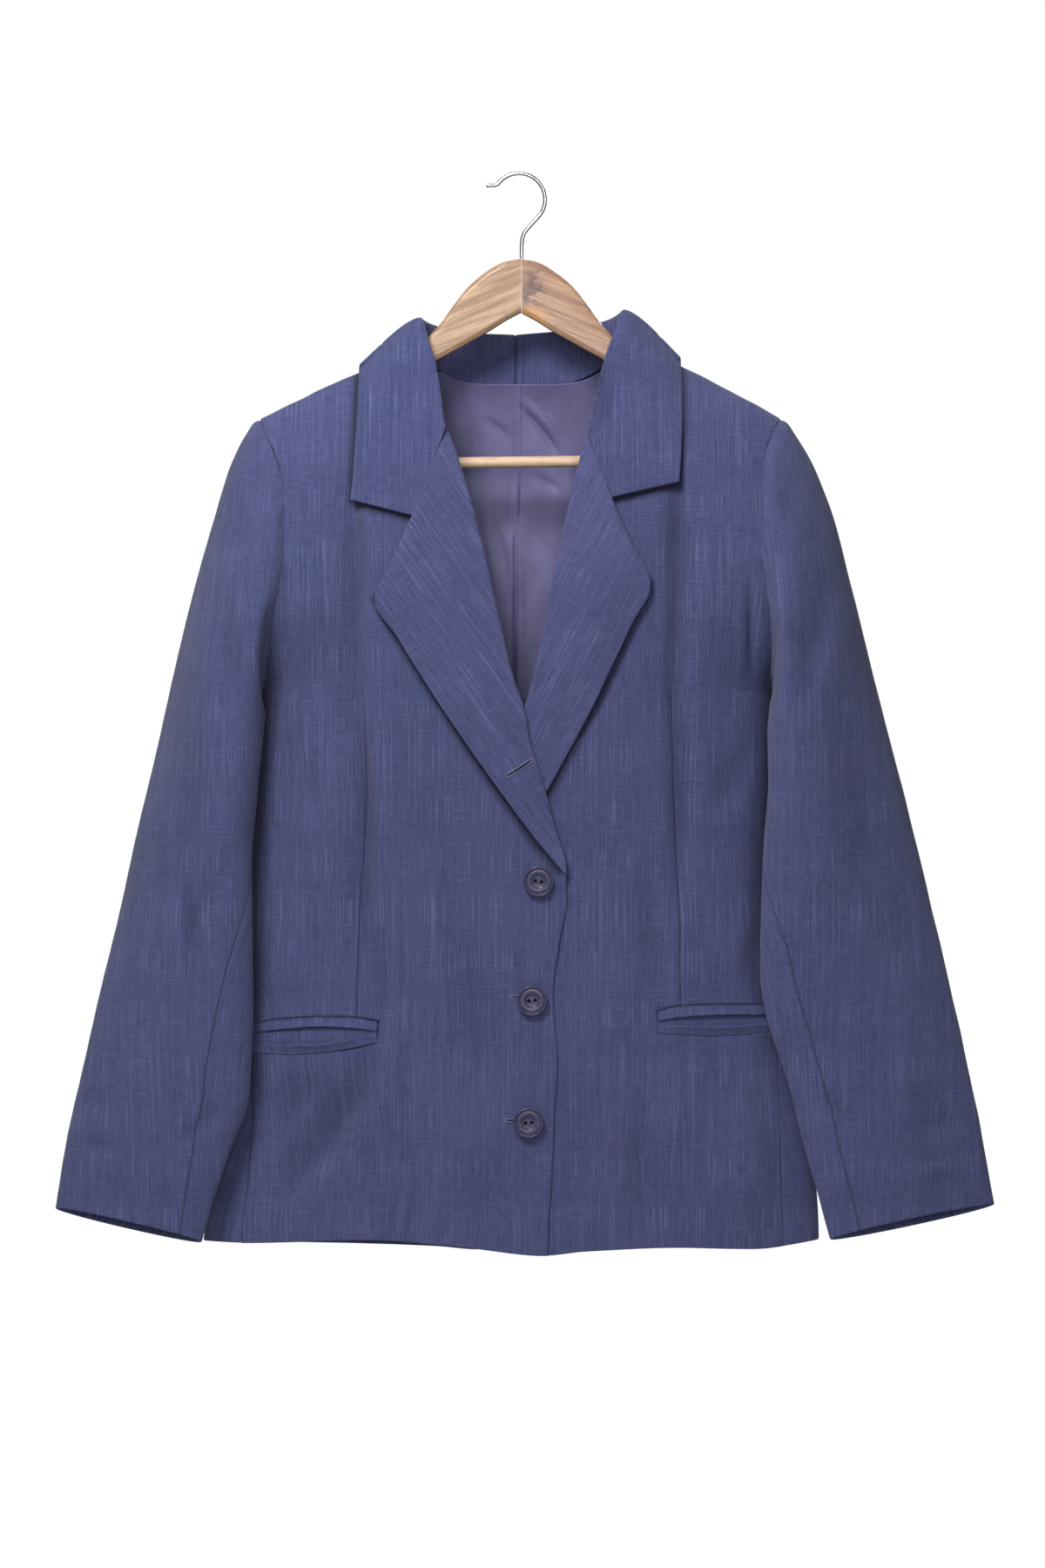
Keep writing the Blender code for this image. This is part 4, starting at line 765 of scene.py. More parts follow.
@dataclass
class Backs:
    """Back halves, seamed at the centre, and the lining halves inside them."""

    thickness: float = 0.0016
    edge: float = 0.0011
    beside: Run = Run(64, 0.235)
    below: Run = Run(84, 0.425)
    across: Run = Run(84, 0.24)
    turn_group: tuple[float, float] = (0.37, 0.0030)
    neck_point: float = 0.078
    neck_height: float = -0.159
    neckline_power: float = 5
    centre: float = -0.004
    centre_fade: float = 0.02
    side_hem: float = 0.200
    seam_share: float = 0.4
    lining_beside: Run = Run(110, 0.235)
    lining_across: Run = Run(110, 0.24)
    lining_crowding: float = 1.5
    lining_thickness: float = 0.0008
    lining_edge: float = 0.0008
    lining_depth: float = 0.0039
    lining_drop: float = 0.022
    lining_rise: float = 0.0022
    lining_sink: float = 0.0026
    lining_fall: float = 0.050
    lining_reach: tuple[float, float] = (0.060, 0.020)
    lining_fade: float = 0.004
    lining_seam: float = 0.0006
    seam_width: float = 0.0016
    lining_shade: float = 2.0
    lining_shade_width: float = 0.0007
    lining_hem: float = -0.762
    creases: Creases = Creases("""
        -85 -520 -98 -812 24 3, 95 -500 108 -812 22 2.8, -128 -200 -112 -345 17 2.4,
        126 -215 108 -355 17 2.2, 30 -640 36 -812 20 -1.8, -30 -600 -42 -800 16 1.4,
        -170 -400 -118 -480 13 2, 166 -395 115 -470 13 1.8, -60 -200 50 -212 10 1.4,
        -165 -560 -145 -760 19 -1.6, 160 -580 145 -770 18 -1.8, -150 -330 -130 -440 10 1.2,
        55 -420 42 -520 15 1.1""")
    lining_creases: Creases = Creases("""
        -4.5 -168 33 -214 2 2.2, 1 -165 38 -208 2.6 -1.6, -45 -168 -30 -225 6 0.8, -30 -180 -6 -200 3 1.2,
        8 -225 33 -238 3 1.2, 10 -205 -20 -290 8 1.2, 32 -190 40 -260 7 -1, -25 -250 -6 -330 6 1,
        -39 -224 -32 -360 8 1.2, 42 -226 32 -370 8 1.2, -13 -230 -10 -420 9 -1.2""")

    def places(self, side: Side, lowered: float = 0.0, lining: bool = False) -> tuple[
            Array, Array, Array]:
        """Places of a back's points, from the centre back round to the side seam.

        The top row runs along the neckline, level and then turned up by a fifth power,
        and along the shoulder; its shape fades out by the underarm.

        Args:
            side: which half.
            lowered: how far the top row stays under the shoulder line.
            lining: finer rows, and columns crowded towards the centre.

        Returns:
            The x, the height and the facing of each point.
        """
        beside, even = self.beside, self.across.shares(self.turn_group)[None, :]
        if lining:
            beside, even = self.lining_beside, self.lining_across.shares()[None, :] ** self.lining_crowding
        down = np.concatenate((beside.shares(), 1 + self.below.shares()[1:]))
        flank_hem = HEM.at("front", side.value * self.side_hem)
        centre_hem = HEM.at("back", self.centre)
        edge, flank = FIGURE.rows(side, down, self.neck_height, flank_hem, centre_hem)
        flank_x = FIGURE.side_x(flank, side)
        line = edge[:, None] + (flank - edge)[:, None] * even
        start = -FIGURE.turn_of(np.full(edge.shape, self.centre), edge, side)[:, None]
        stop = np.where(flank < FIGURE.underarm, FIGURE.seam_angle(flank),
                        -FIGURE.turn_of(flank_x, flank, side))[:, None]
        turn = start + (stop - start) * even
        x = FIGURE.turned_x(turn, line, side)
        beside, skirt = (share[:, None] for share in FIGURE.shares(down))
        weight = np.where(down[:, None] < 1, ease(1 - beside), 0)
        x = x + (side.value * np.abs(flank_x[0]) * even[0] - x[0]) * weight
        x[:, 0], x[:, -1] = self.centre, flank_x
        turned_up = (np.abs(x) / self.neck_point) ** self.neckline_power
        shoulder = FIGURE.shoulder(x)
        neckline = self.neck_height + (shoulder - self.neck_height) * turned_up
        top = np.where(np.abs(x) < self.neck_point, neckline, shoulder)
        height = line + (np.minimum(top, shoulder - lowered) - line[0]) * weight
        facing = np.where(turn > 0, FRONT, BACK)
        facing[:, -1] = np.where(flank < FIGURE.underarm, FRONT, BACK)
        step = line[-1, -1] - HEM.at("back", flank_x[-1])
        height += (HEM.at("back", x) + step * even ** 2 - line[-1]) * skirt ** 2
        return x, height, facing

    def build(self) -> None:
        """Both back halves and both lining halves; painted seam shade marks the centre seam, and the side
        seam on the right.
        """
        for side in Side:
            x, z, facing = self.places(side)
            relief = self.creases.relief(x, z) * ease(np.abs(x - self.centre) / self.centre_fade)
            relief = np.where(facing == BACK, relief, 0)
            depth = self.thickness / 2 + relief + slack(x, z + 1)
            even = FIGURE.points(x, z, facing, self.thickness / 2)
            Cloth("back_%s_cloth" % side.word, FIGURE.points(x, z, facing, depth),
                  stack(side.value * plan_length(even) + 1, z), self.thickness, self.edge,
                  shade=self.creases.shade(relief), seam_share=self.seam_share,
                  seams=((1, 0), (1, -1))[:2 if side is Side.RIGHT else 1]).hang(
                SUIT, "back_" + side.word, "hanger_arm_%s_wood" % side.word)
            self.build_lining(side)

    def build_lining(self, side: Side) -> None:
        """Lining of one half, 3 to 6 mm inside the back, loose enough to crease."""
        x, z, facing = self.places(side, self.lining_drop, True)
        kept = z[:, 0] > self.lining_hem
        x, z, facing = x[kept, :-3], z[kept, :-3] + self.lining_rise, facing[kept, :-3]
        below = ease((self.neck_height - z) / self.lining_fall)
        beside = ease((np.abs(x) - self.lining_reach[0]) / self.lining_reach[1])
        off = np.abs(x - self.centre)
        relief = self.lining_creases.relief(x, z) * ease(off / self.lining_fade)
        depth = self.lining_depth + self.lining_sink * np.maximum(below, beside)
        depth += self.lining_thickness / 2 - relief - self.lining_seam * hump(off, self.seam_width)
        middle = FIGURE.points(x, z, facing, depth)
        # painted shade: the lining's centre seam and its troughs darken
        Cloth("lining_%s_satin" % side.word, middle, stack(side.value * plan_length(middle), z),
              self.lining_thickness, self.lining_edge, seams=((1, 0),),
              shade=self.lining_shade * self.creases.shade(relief), seam_width=self.lining_shade_width).hang(
            SATIN, "lining_" + side.word, "back_%s_cloth" % side.word, slot="lining_satin")


@dataclass
class Sleeves:
    """Two-piece sleeves: rings from the armhole to the cuff, seamed on the forearm and behind."""

    thickness: float = 0.0016
    edge: float = 0.0011
    along: Run = Run(150, 0.62)
    upper_across: Run = Run(78, 0.17)
    under_across: Run = Run(40, 0.11)
    fade: float = 0.35
    armhole_gap: float = -0.0016
    cuff_start: float = 0.84
    cuff_tilt: float = 0.0036
    turn_over: float = 0.012
    calm: float = 0.02
    head: float = 0.0016
    head_place: float = 0.028
    head_run: float = 0.022
    wave: float = 0.00045
    wave_turns: float = 120
    wave_run: float = 0.03
    seam_share: float = 0.4
    right_creases: Creases = Creases("""
        -232 -300 -205 -440 11 2, -248 -400 -262 -560 16 2.4, -254 -520 -245 -635 6 2.6,
        -348 -696 -302 -704 6 1.3, -212 -500 -256 -590 10 1.1, -270 -470 -286 -600 11 1.2,
        -348 -729 -296 -739 5.8 1.4, -270 -640 -300 -770 14 -1.4, -305 -740 -312 -800 9 1.2,
        -220 -700 -260 -735 7 1.4, -205 -240 -218 -300 8 1.4""")
    left_creases: Creases = Creases("""
        197 -236 208 -268 5 2.2, 232 -290 202 -430 11 2.2, 195 -345 225 -365 5 1, 246 -400 262 -560 16 2.4,
        282 -690 346 -732 12 1.7, 210 -490 262 -600 10 1, 270 -480 290 -620 11 1.1, 286 -722 350 -716 7 1.1,
        285 -756 348 -749 6 -1, 272 -640 305 -770 14 -1.4, 312 -735 320 -800 9 1.2,
        220 -690 255 -730 7 1.4""")
    behind: Creases = Creases("""
        205 -300 235 -430 12 1.8, 205 -480 275 -520 9 2.4, 215 -540 290 -560 8 2.2, 225 -600 300 -610 8 1.6,
        290 -640 320 -760 13 -1.4, 260 -720 325 -742 7 1.6""")

    def rings(self, side: Side, share: Array, turn: Array, depth: Values) -> Array:
        """Points round a sleeve: ellipses between an outer and an inner point.

        Args:
            side: which sleeve.
            share: share of the length, from armhole to cuff.
            turn: angle round the ring from its outer side over the front.
            depth: how far under the face.

        Returns:
            The points.
        """
        value = {name: SLEEVES[side].at(name, share) for name in SLEEVES[side].columns}
        outer, inner = (stack(side.value * value[end + "_x"], value[end + "_y"], value[end + "_z"])
                        for end in ("outer", "inner"))
        middle, reach = (outer + inner) / 2, (outer - inner) / 2
        length = np.linalg.norm(reach, axis=-1)
        points = middle + reach * ((1 - depth / length) * np.cos(turn))[..., None]
        points[..., 1] -= (value["depth"] - depth) * np.sin(turn)
        near_cuff = ease((share - self.cuff_start) / (1 - self.cuff_start))
        points[..., 2] += self.cuff_tilt * np.sin(turn) * near_cuff
        return points

    def armhole(self, side: Side, turn: Array, depth: Values) -> Array:
        """The body's armhole as a ring, moved off by a gap."""
        top = FIGURE.armhole_top(side)
        z = top + (FIGURE.underarm - top) * (1 - np.cos(turn)) / 2
        facing = np.where(np.sin(turn) > 0, FRONT, BACK)
        points = FIGURE.points(FIGURE.side_x(z, side), z, facing, depth)
        points[..., 0] += side.value * self.armhole_gap
        return points

    def surface(self, side: Side, upper: bool, depth: Values, share: Array,
                across: Array) -> Array:
        """One piece of the sleeve: its rings, eased into the armhole's shape near the top."""
        share = share[:, None]
        forearm, back = (np.radians(SLEEVE_SEAMS.at(name, share)) for name in (side.word, "back"))
        start, stop = (back - 2 * math.pi, forearm) if upper else (forearm, back)
        turn = start + (stop - start) * across
        share = np.broadcast_to(share, turn.shape)
        first = self.rings(side, np.zeros(turn.shape), turn, depth)
        kept = 1 - ease(share / self.fade)[..., None]
        return self.rings(side, share, turn, depth) + (self.armhole(side, turn, depth) - first) * kept

    def build(self) -> None:
        """Upper and under piece of both sleeves, creased by their place in the front view."""
        for side in Side:
            for word, columns in (("upper", self.upper_across), ("under", self.under_across)):
                upper = word == "upper"
                share, across = self.along.shares(), columns.shares()[None, :]
                even = self.surface(side, upper, self.thickness / 2, share, across)
                x, y, z = np.moveaxis(even, -1, 0)
                outer_y, inner_y = (SLEEVES[side].at(end + "_y", share)[:, None]
                                    for end in ("outer", "inner"))
                in_front = ease(((outer_y + inner_y) / 2 - y) / self.turn_over + 0.5)
                creases = self.right_creases if side is Side.RIGHT else self.left_creases
                relief = creases.relief(x, z) * in_front
                relief += self.behind.relief(np.abs(x), z) * (1 - in_front)
                along = share[:, None]
                head = self.head * hump(along - self.head_place, self.head_run) * upper
                waves = self.wave * np.sin(across * self.wave_turns) * hump(along, self.wave_run)
                near = ease(along / self.calm)
                depth = self.thickness / 2 + (relief + slack(x, z - 2) - head + waves) * near
                run, mid = plan_length(even), [x.shape[1] // 2]
                cut = stack(x[:, mid] + side.value * (run[:, mid] - run) + upper, z)
                name = "sleeve_%s_%s" % (word, side.word)
                # painted shade: the troughs and both seams of each piece darken
                Cloth(name + "_cloth", self.surface(side, upper, depth, share, across), cut,
                      self.thickness, self.edge, shade=creases.shade(relief),
                      seams=((1, 0), (1, -1)), seam_share=self.seam_share).hang(
                    SUIT, name, "front_%s_cloth" % side.word, "back_%s_cloth" % side.word)


@dataclass
class Collar:
    """Collar halves: up the stand, over the roll and down the fall, to the gorge in front."""

    thickness: float = 0.0020
    edge: float = 0.0018
    along: Run = Run(96, 0.24, 0.0018)
    over: Run = Run(72, 0.11, 0.0018)
    lift: Rows = Rows("share height", """
        0 4, 45 3.4, 60 3, 75 3.4, 100 5.6""")
    roll: float = 0.0050
    roll_rise: float = 0.0030
    roll_front: float = 0.6
    seam_rise: float = 0.0006
    flatten: float = 0.2
    side_share: float = 0.6
    gorge: float = 5 / 12
    notch: float = 8 / 12
    gorge_start: float = 0.70
    gorge_power: float = 1.5
    tuck: float = 0.0003
    tuck_turns: tuple[float, float] = (90, 60)
    tuck_start: float = 0.05
    tuck_run: float = 0.1
    neck_reach: float = 0.07
    level_passes: int = 4

    def curve(self, control: list[Array], t: Array) -> Array:
        """Clamped cubic B-spline through rows of control points, by its basis functions.

        Args:
            control: the control points, one array for each.
            t: parameters from 0 to 1.

        Returns:
            A grid of points, the control rows along the first axis.
        """
        count = len(control)
        knots = np.concatenate(([0] * 3, np.linspace(0, 1, count - 2), [1] * 3))
        last = (knots[1:] == 1) & (knots[:-1] < 1)
        basis = [((low <= t) & ((t < high) | (closed & (t == 1)))).astype(float)
                 for low, high, closed in zip(knots[:-1], knots[1:], last)]
        for degree in range(1, 4):
            for i in range(len(knots) - 1 - degree):
                left, right = knots[i + degree] - knots[i], knots[i + degree + 1] - knots[i + 1]
                grow = (t - knots[i]) / left * basis[i] if left > 0 else 0
                fade = (knots[i + degree + 1] - t) / right * basis[i + 1] if right > 0 else 0
                basis[i] = grow + fade
        return np.einsum("ct,crk->rtk", np.array(basis[:count]), np.array(control))

    def face(self, side: Side, share: Array, t: Array) -> Array:
        """The collar's face: a spline up the stand and down the fall, bent to the gorge."""
        value = {name: COLLARS[side].at(name, share) for name in COLLARS[side].columns}
        facing = np.where(share < self.side_share, BACK, FRONT)
        depth = np.interp(share, *COLLAR_SEAM_DEPTH.columns.values())
        lying_height = self.lift.at("height", share)
        seam = FIGURE.points(value["seam_x"], value["seam_z"], facing, depth)
        seam[:, 2] = value["seam_z"] + self.seam_rise
        roll = stack(value["roll_x"], value["roll_y"], value["roll_z"])
        edge = FIGURE.points(value["edge_x"], value["edge_z"], facing, -lying_height)
        edge[:, 2] = value["edge_z"]
        out = (edge - roll) * (1, 1, 0)
        out /= np.linalg.norm(out, axis=-1, keepdims=True)
        upright = ease((1 - share) / self.flatten)[:, None]
        lift = np.array((0, 0, self.roll_rise)) * upright
        inside = roll - out * self.roll * upright + lift
        outside = roll + out * self.roll * (self.roll_front + (1 - self.roll_front) * upright) + lift
        half_way = outside + (edge - outside) * 0.5 + lift
        face = self.curve([seam, (seam + inside) / 2, inside, outside, half_way, edge], t)
        at_gorge = int(np.argmin(np.abs(t - self.gorge)))
        pull = np.clip((share - self.gorge_start) / (1 - self.gorge_start), 0, 1)[:, None]
        last = face[-1].copy()
        for axis, place in ((0, 0), (2, 1)):
            target = np.interp(t, (self.gorge, self.notch, 1),
                               (last[at_gorge, axis], NOTCH[side][place], last[-1, axis]))
            shift = np.where(t >= self.gorge, target - last[:, axis], 0)
            face[..., axis] += pull ** self.gorge_power * shift
        return self.rest(face, t >= self.gorge, lying_height[:, None])

    def rest(self, face: Array, lying: Array, lift: Array) -> Array:
        """Keep the fall clear of the body that it lies on, in front and behind."""
        x, y, height = np.moveaxis(face, -1, 0)
        for facing in (FRONT, BACK):
            level = height
            for _ in range(self.level_passes):
                top = 1 - ease((FIGURE.shoulder(x) - level) / FIGURE.rounding)
                level = height - lift * top
            limit = FIGURE.points(x, level, facing, -lift)[..., 1]
            under = lying & (level < FIGURE.shoulder(x)) & (y * facing > 0)
            y = np.where(under, facing * np.maximum(y * facing, limit * facing), y)
        face[..., 1] = y
        return face

    def build(self) -> None:
        """Both halves; their middle lies half the cloth inside the face."""
        for side in Side:
            share = self.along.shares()
            t = np.unique(np.concatenate((self.over.shares(), (self.gorge, self.notch))))
            face = self.face(side, share, t)
            middle = face + grid_normals(face) * side.value * self.thickness / 2
            x, y, z = np.moveaxis(middle, -1, 0)
            tuck = self.tuck * np.sin(self.tuck_turns[0] * x + self.tuck_turns[1] * z)
            y += tuck * ease((share[:, None] - self.tuck_start) / self.tuck_run) * (t > 0.5)
            cut = stack(x + 2, z - y * (1 - ease(np.abs(x) / self.neck_reach)))
            # painted seam shade along the collar's seam at the centre back
            Cloth("collar_%s_cloth" % side.word, middle, cut, self.thickness, self.edge,
                  seams=((0, 0),)).hang(FACING_CLOTH, "collar_" + side.word,
                                        "back_%s_cloth" % side.word, "front_%s_cloth" % side.word)


@dataclass
class Lapels:
    """Lapels: rolled round the front's edge and laid back from gorge to break."""

    thickness: float = 0.0018
    edge: float = 0.0018
    along: Run = Run(150, 0.34, 0.0018)
    across: Run = Run(64, 0.07, 0.0018)
    corner_group: tuple[float, float] = (0.2, 0.002)
    roll_steps: int = 12
    grain_ends: tuple[float, float] = (0.25, 0.95)
    gap: float = 0.0004
    belly: float = 0.0024
    belly_ease: float = 0.3
    spring: float = 0.0042
    spring_reach: float = 0.8
    spring_ease: float = 0.25
    roll_radius: float = 0.0016
    roll_ease: float = 0.10
    roll_depth: float = 1.15

    def middle(self, side: Side, share: Array, across: Array) -> Array:
        """Middle surface from the roll line to the outer edge.

        The lift over the front is the gap and half the cloth, and a sine across that
        grows from the break. Shares below 0 go round a half circle at the roll, back to
        the front's inner face.

        Args:
            side: which lapel.
            share: share of the way down from gorge to break, one for each row.
            across: 0 at the roll to 1 at the outer edge; -1 to 0 on the roll.

        Returns:
            The points.
        """
        rows = LAPELS[side]
        share = share[:, None]
        flat, angle = np.maximum(across, 0), np.pi * np.maximum(-across, 0)
        roll_z, outer_x, outer_z = (rows.at(name, share) for name in ("roll_z", "outer_x", "outer_z"))
        radius = self.roll_radius * ease((1 - share) / self.roll_ease)
        roll_x = FRONT_EDGE.at(side.word, roll_z) + side.value * radius
        x, z = roll_x + (outer_x - roll_x) * flat, roll_z + (outer_z - roll_z) * flat
        belly = self.belly * np.sin(np.pi * flat) * ease((1 - share) / self.belly_ease)
        spring = self.spring * ease(flat / self.spring_reach) * ease((1 - share) / self.spring_ease)
        lift = self.thickness / 2 + self.gap + belly + spring
        sink = np.zeros(x.shape)
        if side is Side.LEFT:
            sink = OVERLAP.depth(x, z)
            hidden = np.clip(sink / OVERLAP.sink, 0, 1)
            lift = lift + (self.thickness / 2 + 2 * self.gap - lift) * hidden
        depth = sink - lift + radius * (1 - np.cos(angle)) * self.roll_depth
        return FIGURE.points(x - side.value * radius * np.sin(angle), z, FRONT, depth)

    def build(self) -> None:
        """Both lapels, their grain along the outer edge."""
        for side in Side:
            roll = -np.linspace(1, 0, self.roll_steps + 1)[:-1]
            across = np.concatenate((roll, self.across.shares()))[None, :]
            middle = self.middle(side, self.along.shares(self.corner_group), across)
            high, low = (np.array([LAPELS[side].at(name, place) for name in ("outer_x", "outer_z")])
                         for place in self.grain_ends)
            along_x, along_z = (high - low) / np.linalg.norm(high - low)
            x, z = middle[..., 0], middle[..., 2]
            cut = stack(x * along_z - z * along_x + 3, x * along_x + z * along_z)
            Cloth("lapel_%s_cloth" % side.word, middle, cut, self.thickness, self.edge).hang(
                LAPEL_CLOTH, "lapel_" + side.word, "front_%s_cloth" % side.word)


@dataclass(frozen=True)
class PocketPart:
    """A strip between two of the pocket's lines."""

    word: str
    upper: str
    lower: str
    sunk: float
    top_gape: float
    bottom_gape: float
    sewn: int
    over: float
    grain: float
    seam_share: float
    seam_width: float


@dataclass
class Pockets:
    """Two welts and the facing between them at each pocket, lying in the front's slit."""

    thickness: float = 0.0014
    edge: float = 0.0008
    along: Run = Run(70, 0.09, 0.0008)
    down: Run = Run(14, 0.0078, 0.0008)
    past_end: float = 0.0009
    mouth_power: float = 0.7
    gape_power: float = 1.5
    end_depth: float = 0.3
    # painted seam shade: dark along the facing's top under the mouth, and along the welts' sewn edges
    parts: tuple[PocketPart, ...] = (
        PocketPart("pocket_facing", "mouth", "welt_top", 0.0026, 0.0, 0.0, 0,
                   0.0016, 0.4, 0.95, 0.0018),
        PocketPart("welt_upper", "upper_seam", "mouth", 0.0007, 0.0, 0.0014, 0,
                   -0.0002, 0.0, 0.6, 0.0009),
        PocketPart("welt_lower", "welt_top", "lower_seam", 0.0005, 0.0034, 0.0, -1,
                   -0.0002, 0.0, 0.15, 0.0009))

    def build(self) -> None:
        """All parts; a free edge stands off most in the middle of the mouth, by a sine."""
        for side in Side:
            rows = POCKETS[side]
            ends = rows.columns["reach"][[0, -1]]
            share = self.along.shares()[None, :]
            start = ends[0] - self.past_end
            reach = start + (ends[1] - start) * share
            opened = np.sin(np.pi * share) ** self.mouth_power
            down = self.down.shares()[:, None]
            for part in self.parts:
                top = rows.at(part.upper, reach) + part.over
                z = top + (rows.at(part.lower, reach) - part.over - top) * down
                x = side.value * np.broadcast_to(reach, z.shape)
                gape = opened * (part.top_gape * (1 - down) ** self.gape_power
                                 + part.bottom_gape * down ** self.gape_power)
                depth = part.sunk * (self.end_depth + (1 - self.end_depth) * opened)
                depth = depth + self.thickness / 2 - gape
                if side is Side.LEFT:
                    depth = depth + OVERLAP.depth(x, z)
                name = "%s_%s" % (part.word, side.word)
                Cloth(name + "_cloth", FIGURE.points(x, z, FRONT, depth),
                      stack(x + 4, z + part.grain), self.thickness, self.edge,
                      seams=((0, part.sewn),), seam_share=part.seam_share,
                      seam_width=part.seam_width).hang(SUIT, name, "front_%s_cloth" % side.word)


def loft(name: str, rings: Array) -> Piece:
    """Closed body from a run of rings, each end closed by a strip across its ring.

    Args:
        name: name of the piece.
        rings: rings x points x 3; an even number of points in each ring.

    Returns:
        The new object.
    """
    count, around = rings.shape[:2]
    index = np.arange(count * around).reshape(count, around)
    sides = grid_quads(np.concatenate((index, index[:, :1]), axis=1))
    j = np.arange(around // 2 - 1)
    strip = stack(j, around - 1 - j, around - 2 - j, j + 1)
    caps = np.concatenate((index[0][strip], index[-1][strip[:, ::-1]]))
    return make_piece(name, rings.reshape(-1, 3), np.concatenate((sides, caps[:, ::-1])))


def circle(count: int) -> Array:
    """Even angles round a circle, half a step off its start."""
    return 2 * np.pi * (np.arange(count) + 0.5) / count


def tube(path: Array, radius: Values, sides: int) -> Array:
    """Rings round a path: circles square to its direction, with no twist about Y.

    Args:
        path: points of the middle line.
        radius: radius at each point.
        sides: points in each ring, an even number.

    Returns:
        The rings.
    """
    tangent = np.gradient(path, axis=0)
    tangent /= np.linalg.norm(tangent, axis=-1, keepdims=True)
    across = np.cross(tangent, (0.0, 1.0, 0.0))
    across /= np.linalg.norm(across, axis=-1, keepdims=True)
    angle = circle(sides)[:, None]
    spread = across[:, None] * np.cos(angle) + np.cross(across, tangent)[:, None] * np.sin(angle)
    return path[:, None] + spread * np.broadcast_to(radius, len(path))[:, None, None]


@dataclass
class Buttonholes:
    """Sewn buttonholes: a ribbed band of stitches round a slit, a near-black tube of painted shadow."""

    length: float = 0.0235
    band: float = 0.00070
    flatness: float = 0.55
    spread: float = 0.00125
    rib_pitch: float = 0.00075
    rib_height: float = 0.28
    slit: float = 0.00085
    slit_end: float = 0.98
    lifts: tuple[float, float] = (0.00015, 0.0001)   # of the band, and of the slit
    ray_start: float = -0.5
    steps: int = 100
    end_steps: int = 14
    slit_steps: int = 40
    rib_steps: int = 5
    sides: tuple[int, int] = (10, 8)                 # of the band, and of the slit
    holes: tuple[tuple[str, float, float, float], ...] = (
        ("lapel_buttonhole", -0.0008, -0.4493, math.radians(33)),
        ("front_buttonhole_2", 0.0042, -0.6212, math.radians(2)),
        ("front_buttonhole_3", 0.0004, -0.7140, math.radians(2)))

    def on_surface(self, x: Array, z: Array, lift: float) -> Array:
        """Points just over the outermost piece in front, at places of the front view."""
        under = [bpy.data.objects[name] for name in ("front_right_cloth", "lapel_right_cloth")]
        hits = [[piece.ray_cast((a, self.ray_start, b), (0, 1, 0)) for a, b in zip(x, z)] for piece in under]
        y = np.array([[hit[1][1] if hit[0] else 1.0 for hit in row] for row in hits]).min(axis=0)
        return stack(x, y - lift, z)

    def build(self) -> None:
        """Each band is a bead along two sides and round both ends, swelling at each stitch."""
        half = self.length / 2 - self.spread
        straight, even = np.linspace(-half, half, self.steps), np.linspace(-1, 1, self.slit_steps)
        end = np.linspace(-np.pi / 2, np.pi / 2, self.end_steps)[1:-1]
        along = np.concatenate((straight, half + self.spread * np.cos(end)))
        off = self.spread * np.concatenate((np.full(self.steps, -1.0), np.sin(end)))
        along, off = np.concatenate((along, -along)), np.concatenate((off, -off))
        for name, x, z, tilt in self.holes:
            path = self.on_surface(x + along * math.cos(tilt) - off * math.sin(tilt),
                                   z + along * math.sin(tilt) + off * math.cos(tilt), self.lifts[0])
            run = arc_length(path, 0)
            fine = np.arange(0, run[-1], self.rib_pitch / self.rib_steps)
            path = stack(*(np.interp(fine, run, part) for part in path.T))
            rib = 1 - self.rib_height * (1 - np.abs(np.sin(np.pi * fine / self.rib_pitch)))
            rings = tube(path, self.band * rib, self.sides[0])
            rings[..., 1] = path[:, 1:2] + (rings[..., 1] - path[:, 1:2]) * self.flatness
            fit_frame(loft(name + "_stitching", rings), "slate_cloth", STITCHING)
            # the slit: a near-black tube, painted shadow inside the buttonhole
            slit = self.on_surface(x + half * even * math.cos(tilt), z + half * even * math.sin(tilt),
                                   self.lifts[1])
            size = self.slit * np.sqrt(1 - (self.slit_end * even) ** 2)
            fit_frame(loft(name + "_slit", tube(slit, size, self.sides[1])), "slate_cloth", PAINTED_SHADOW)


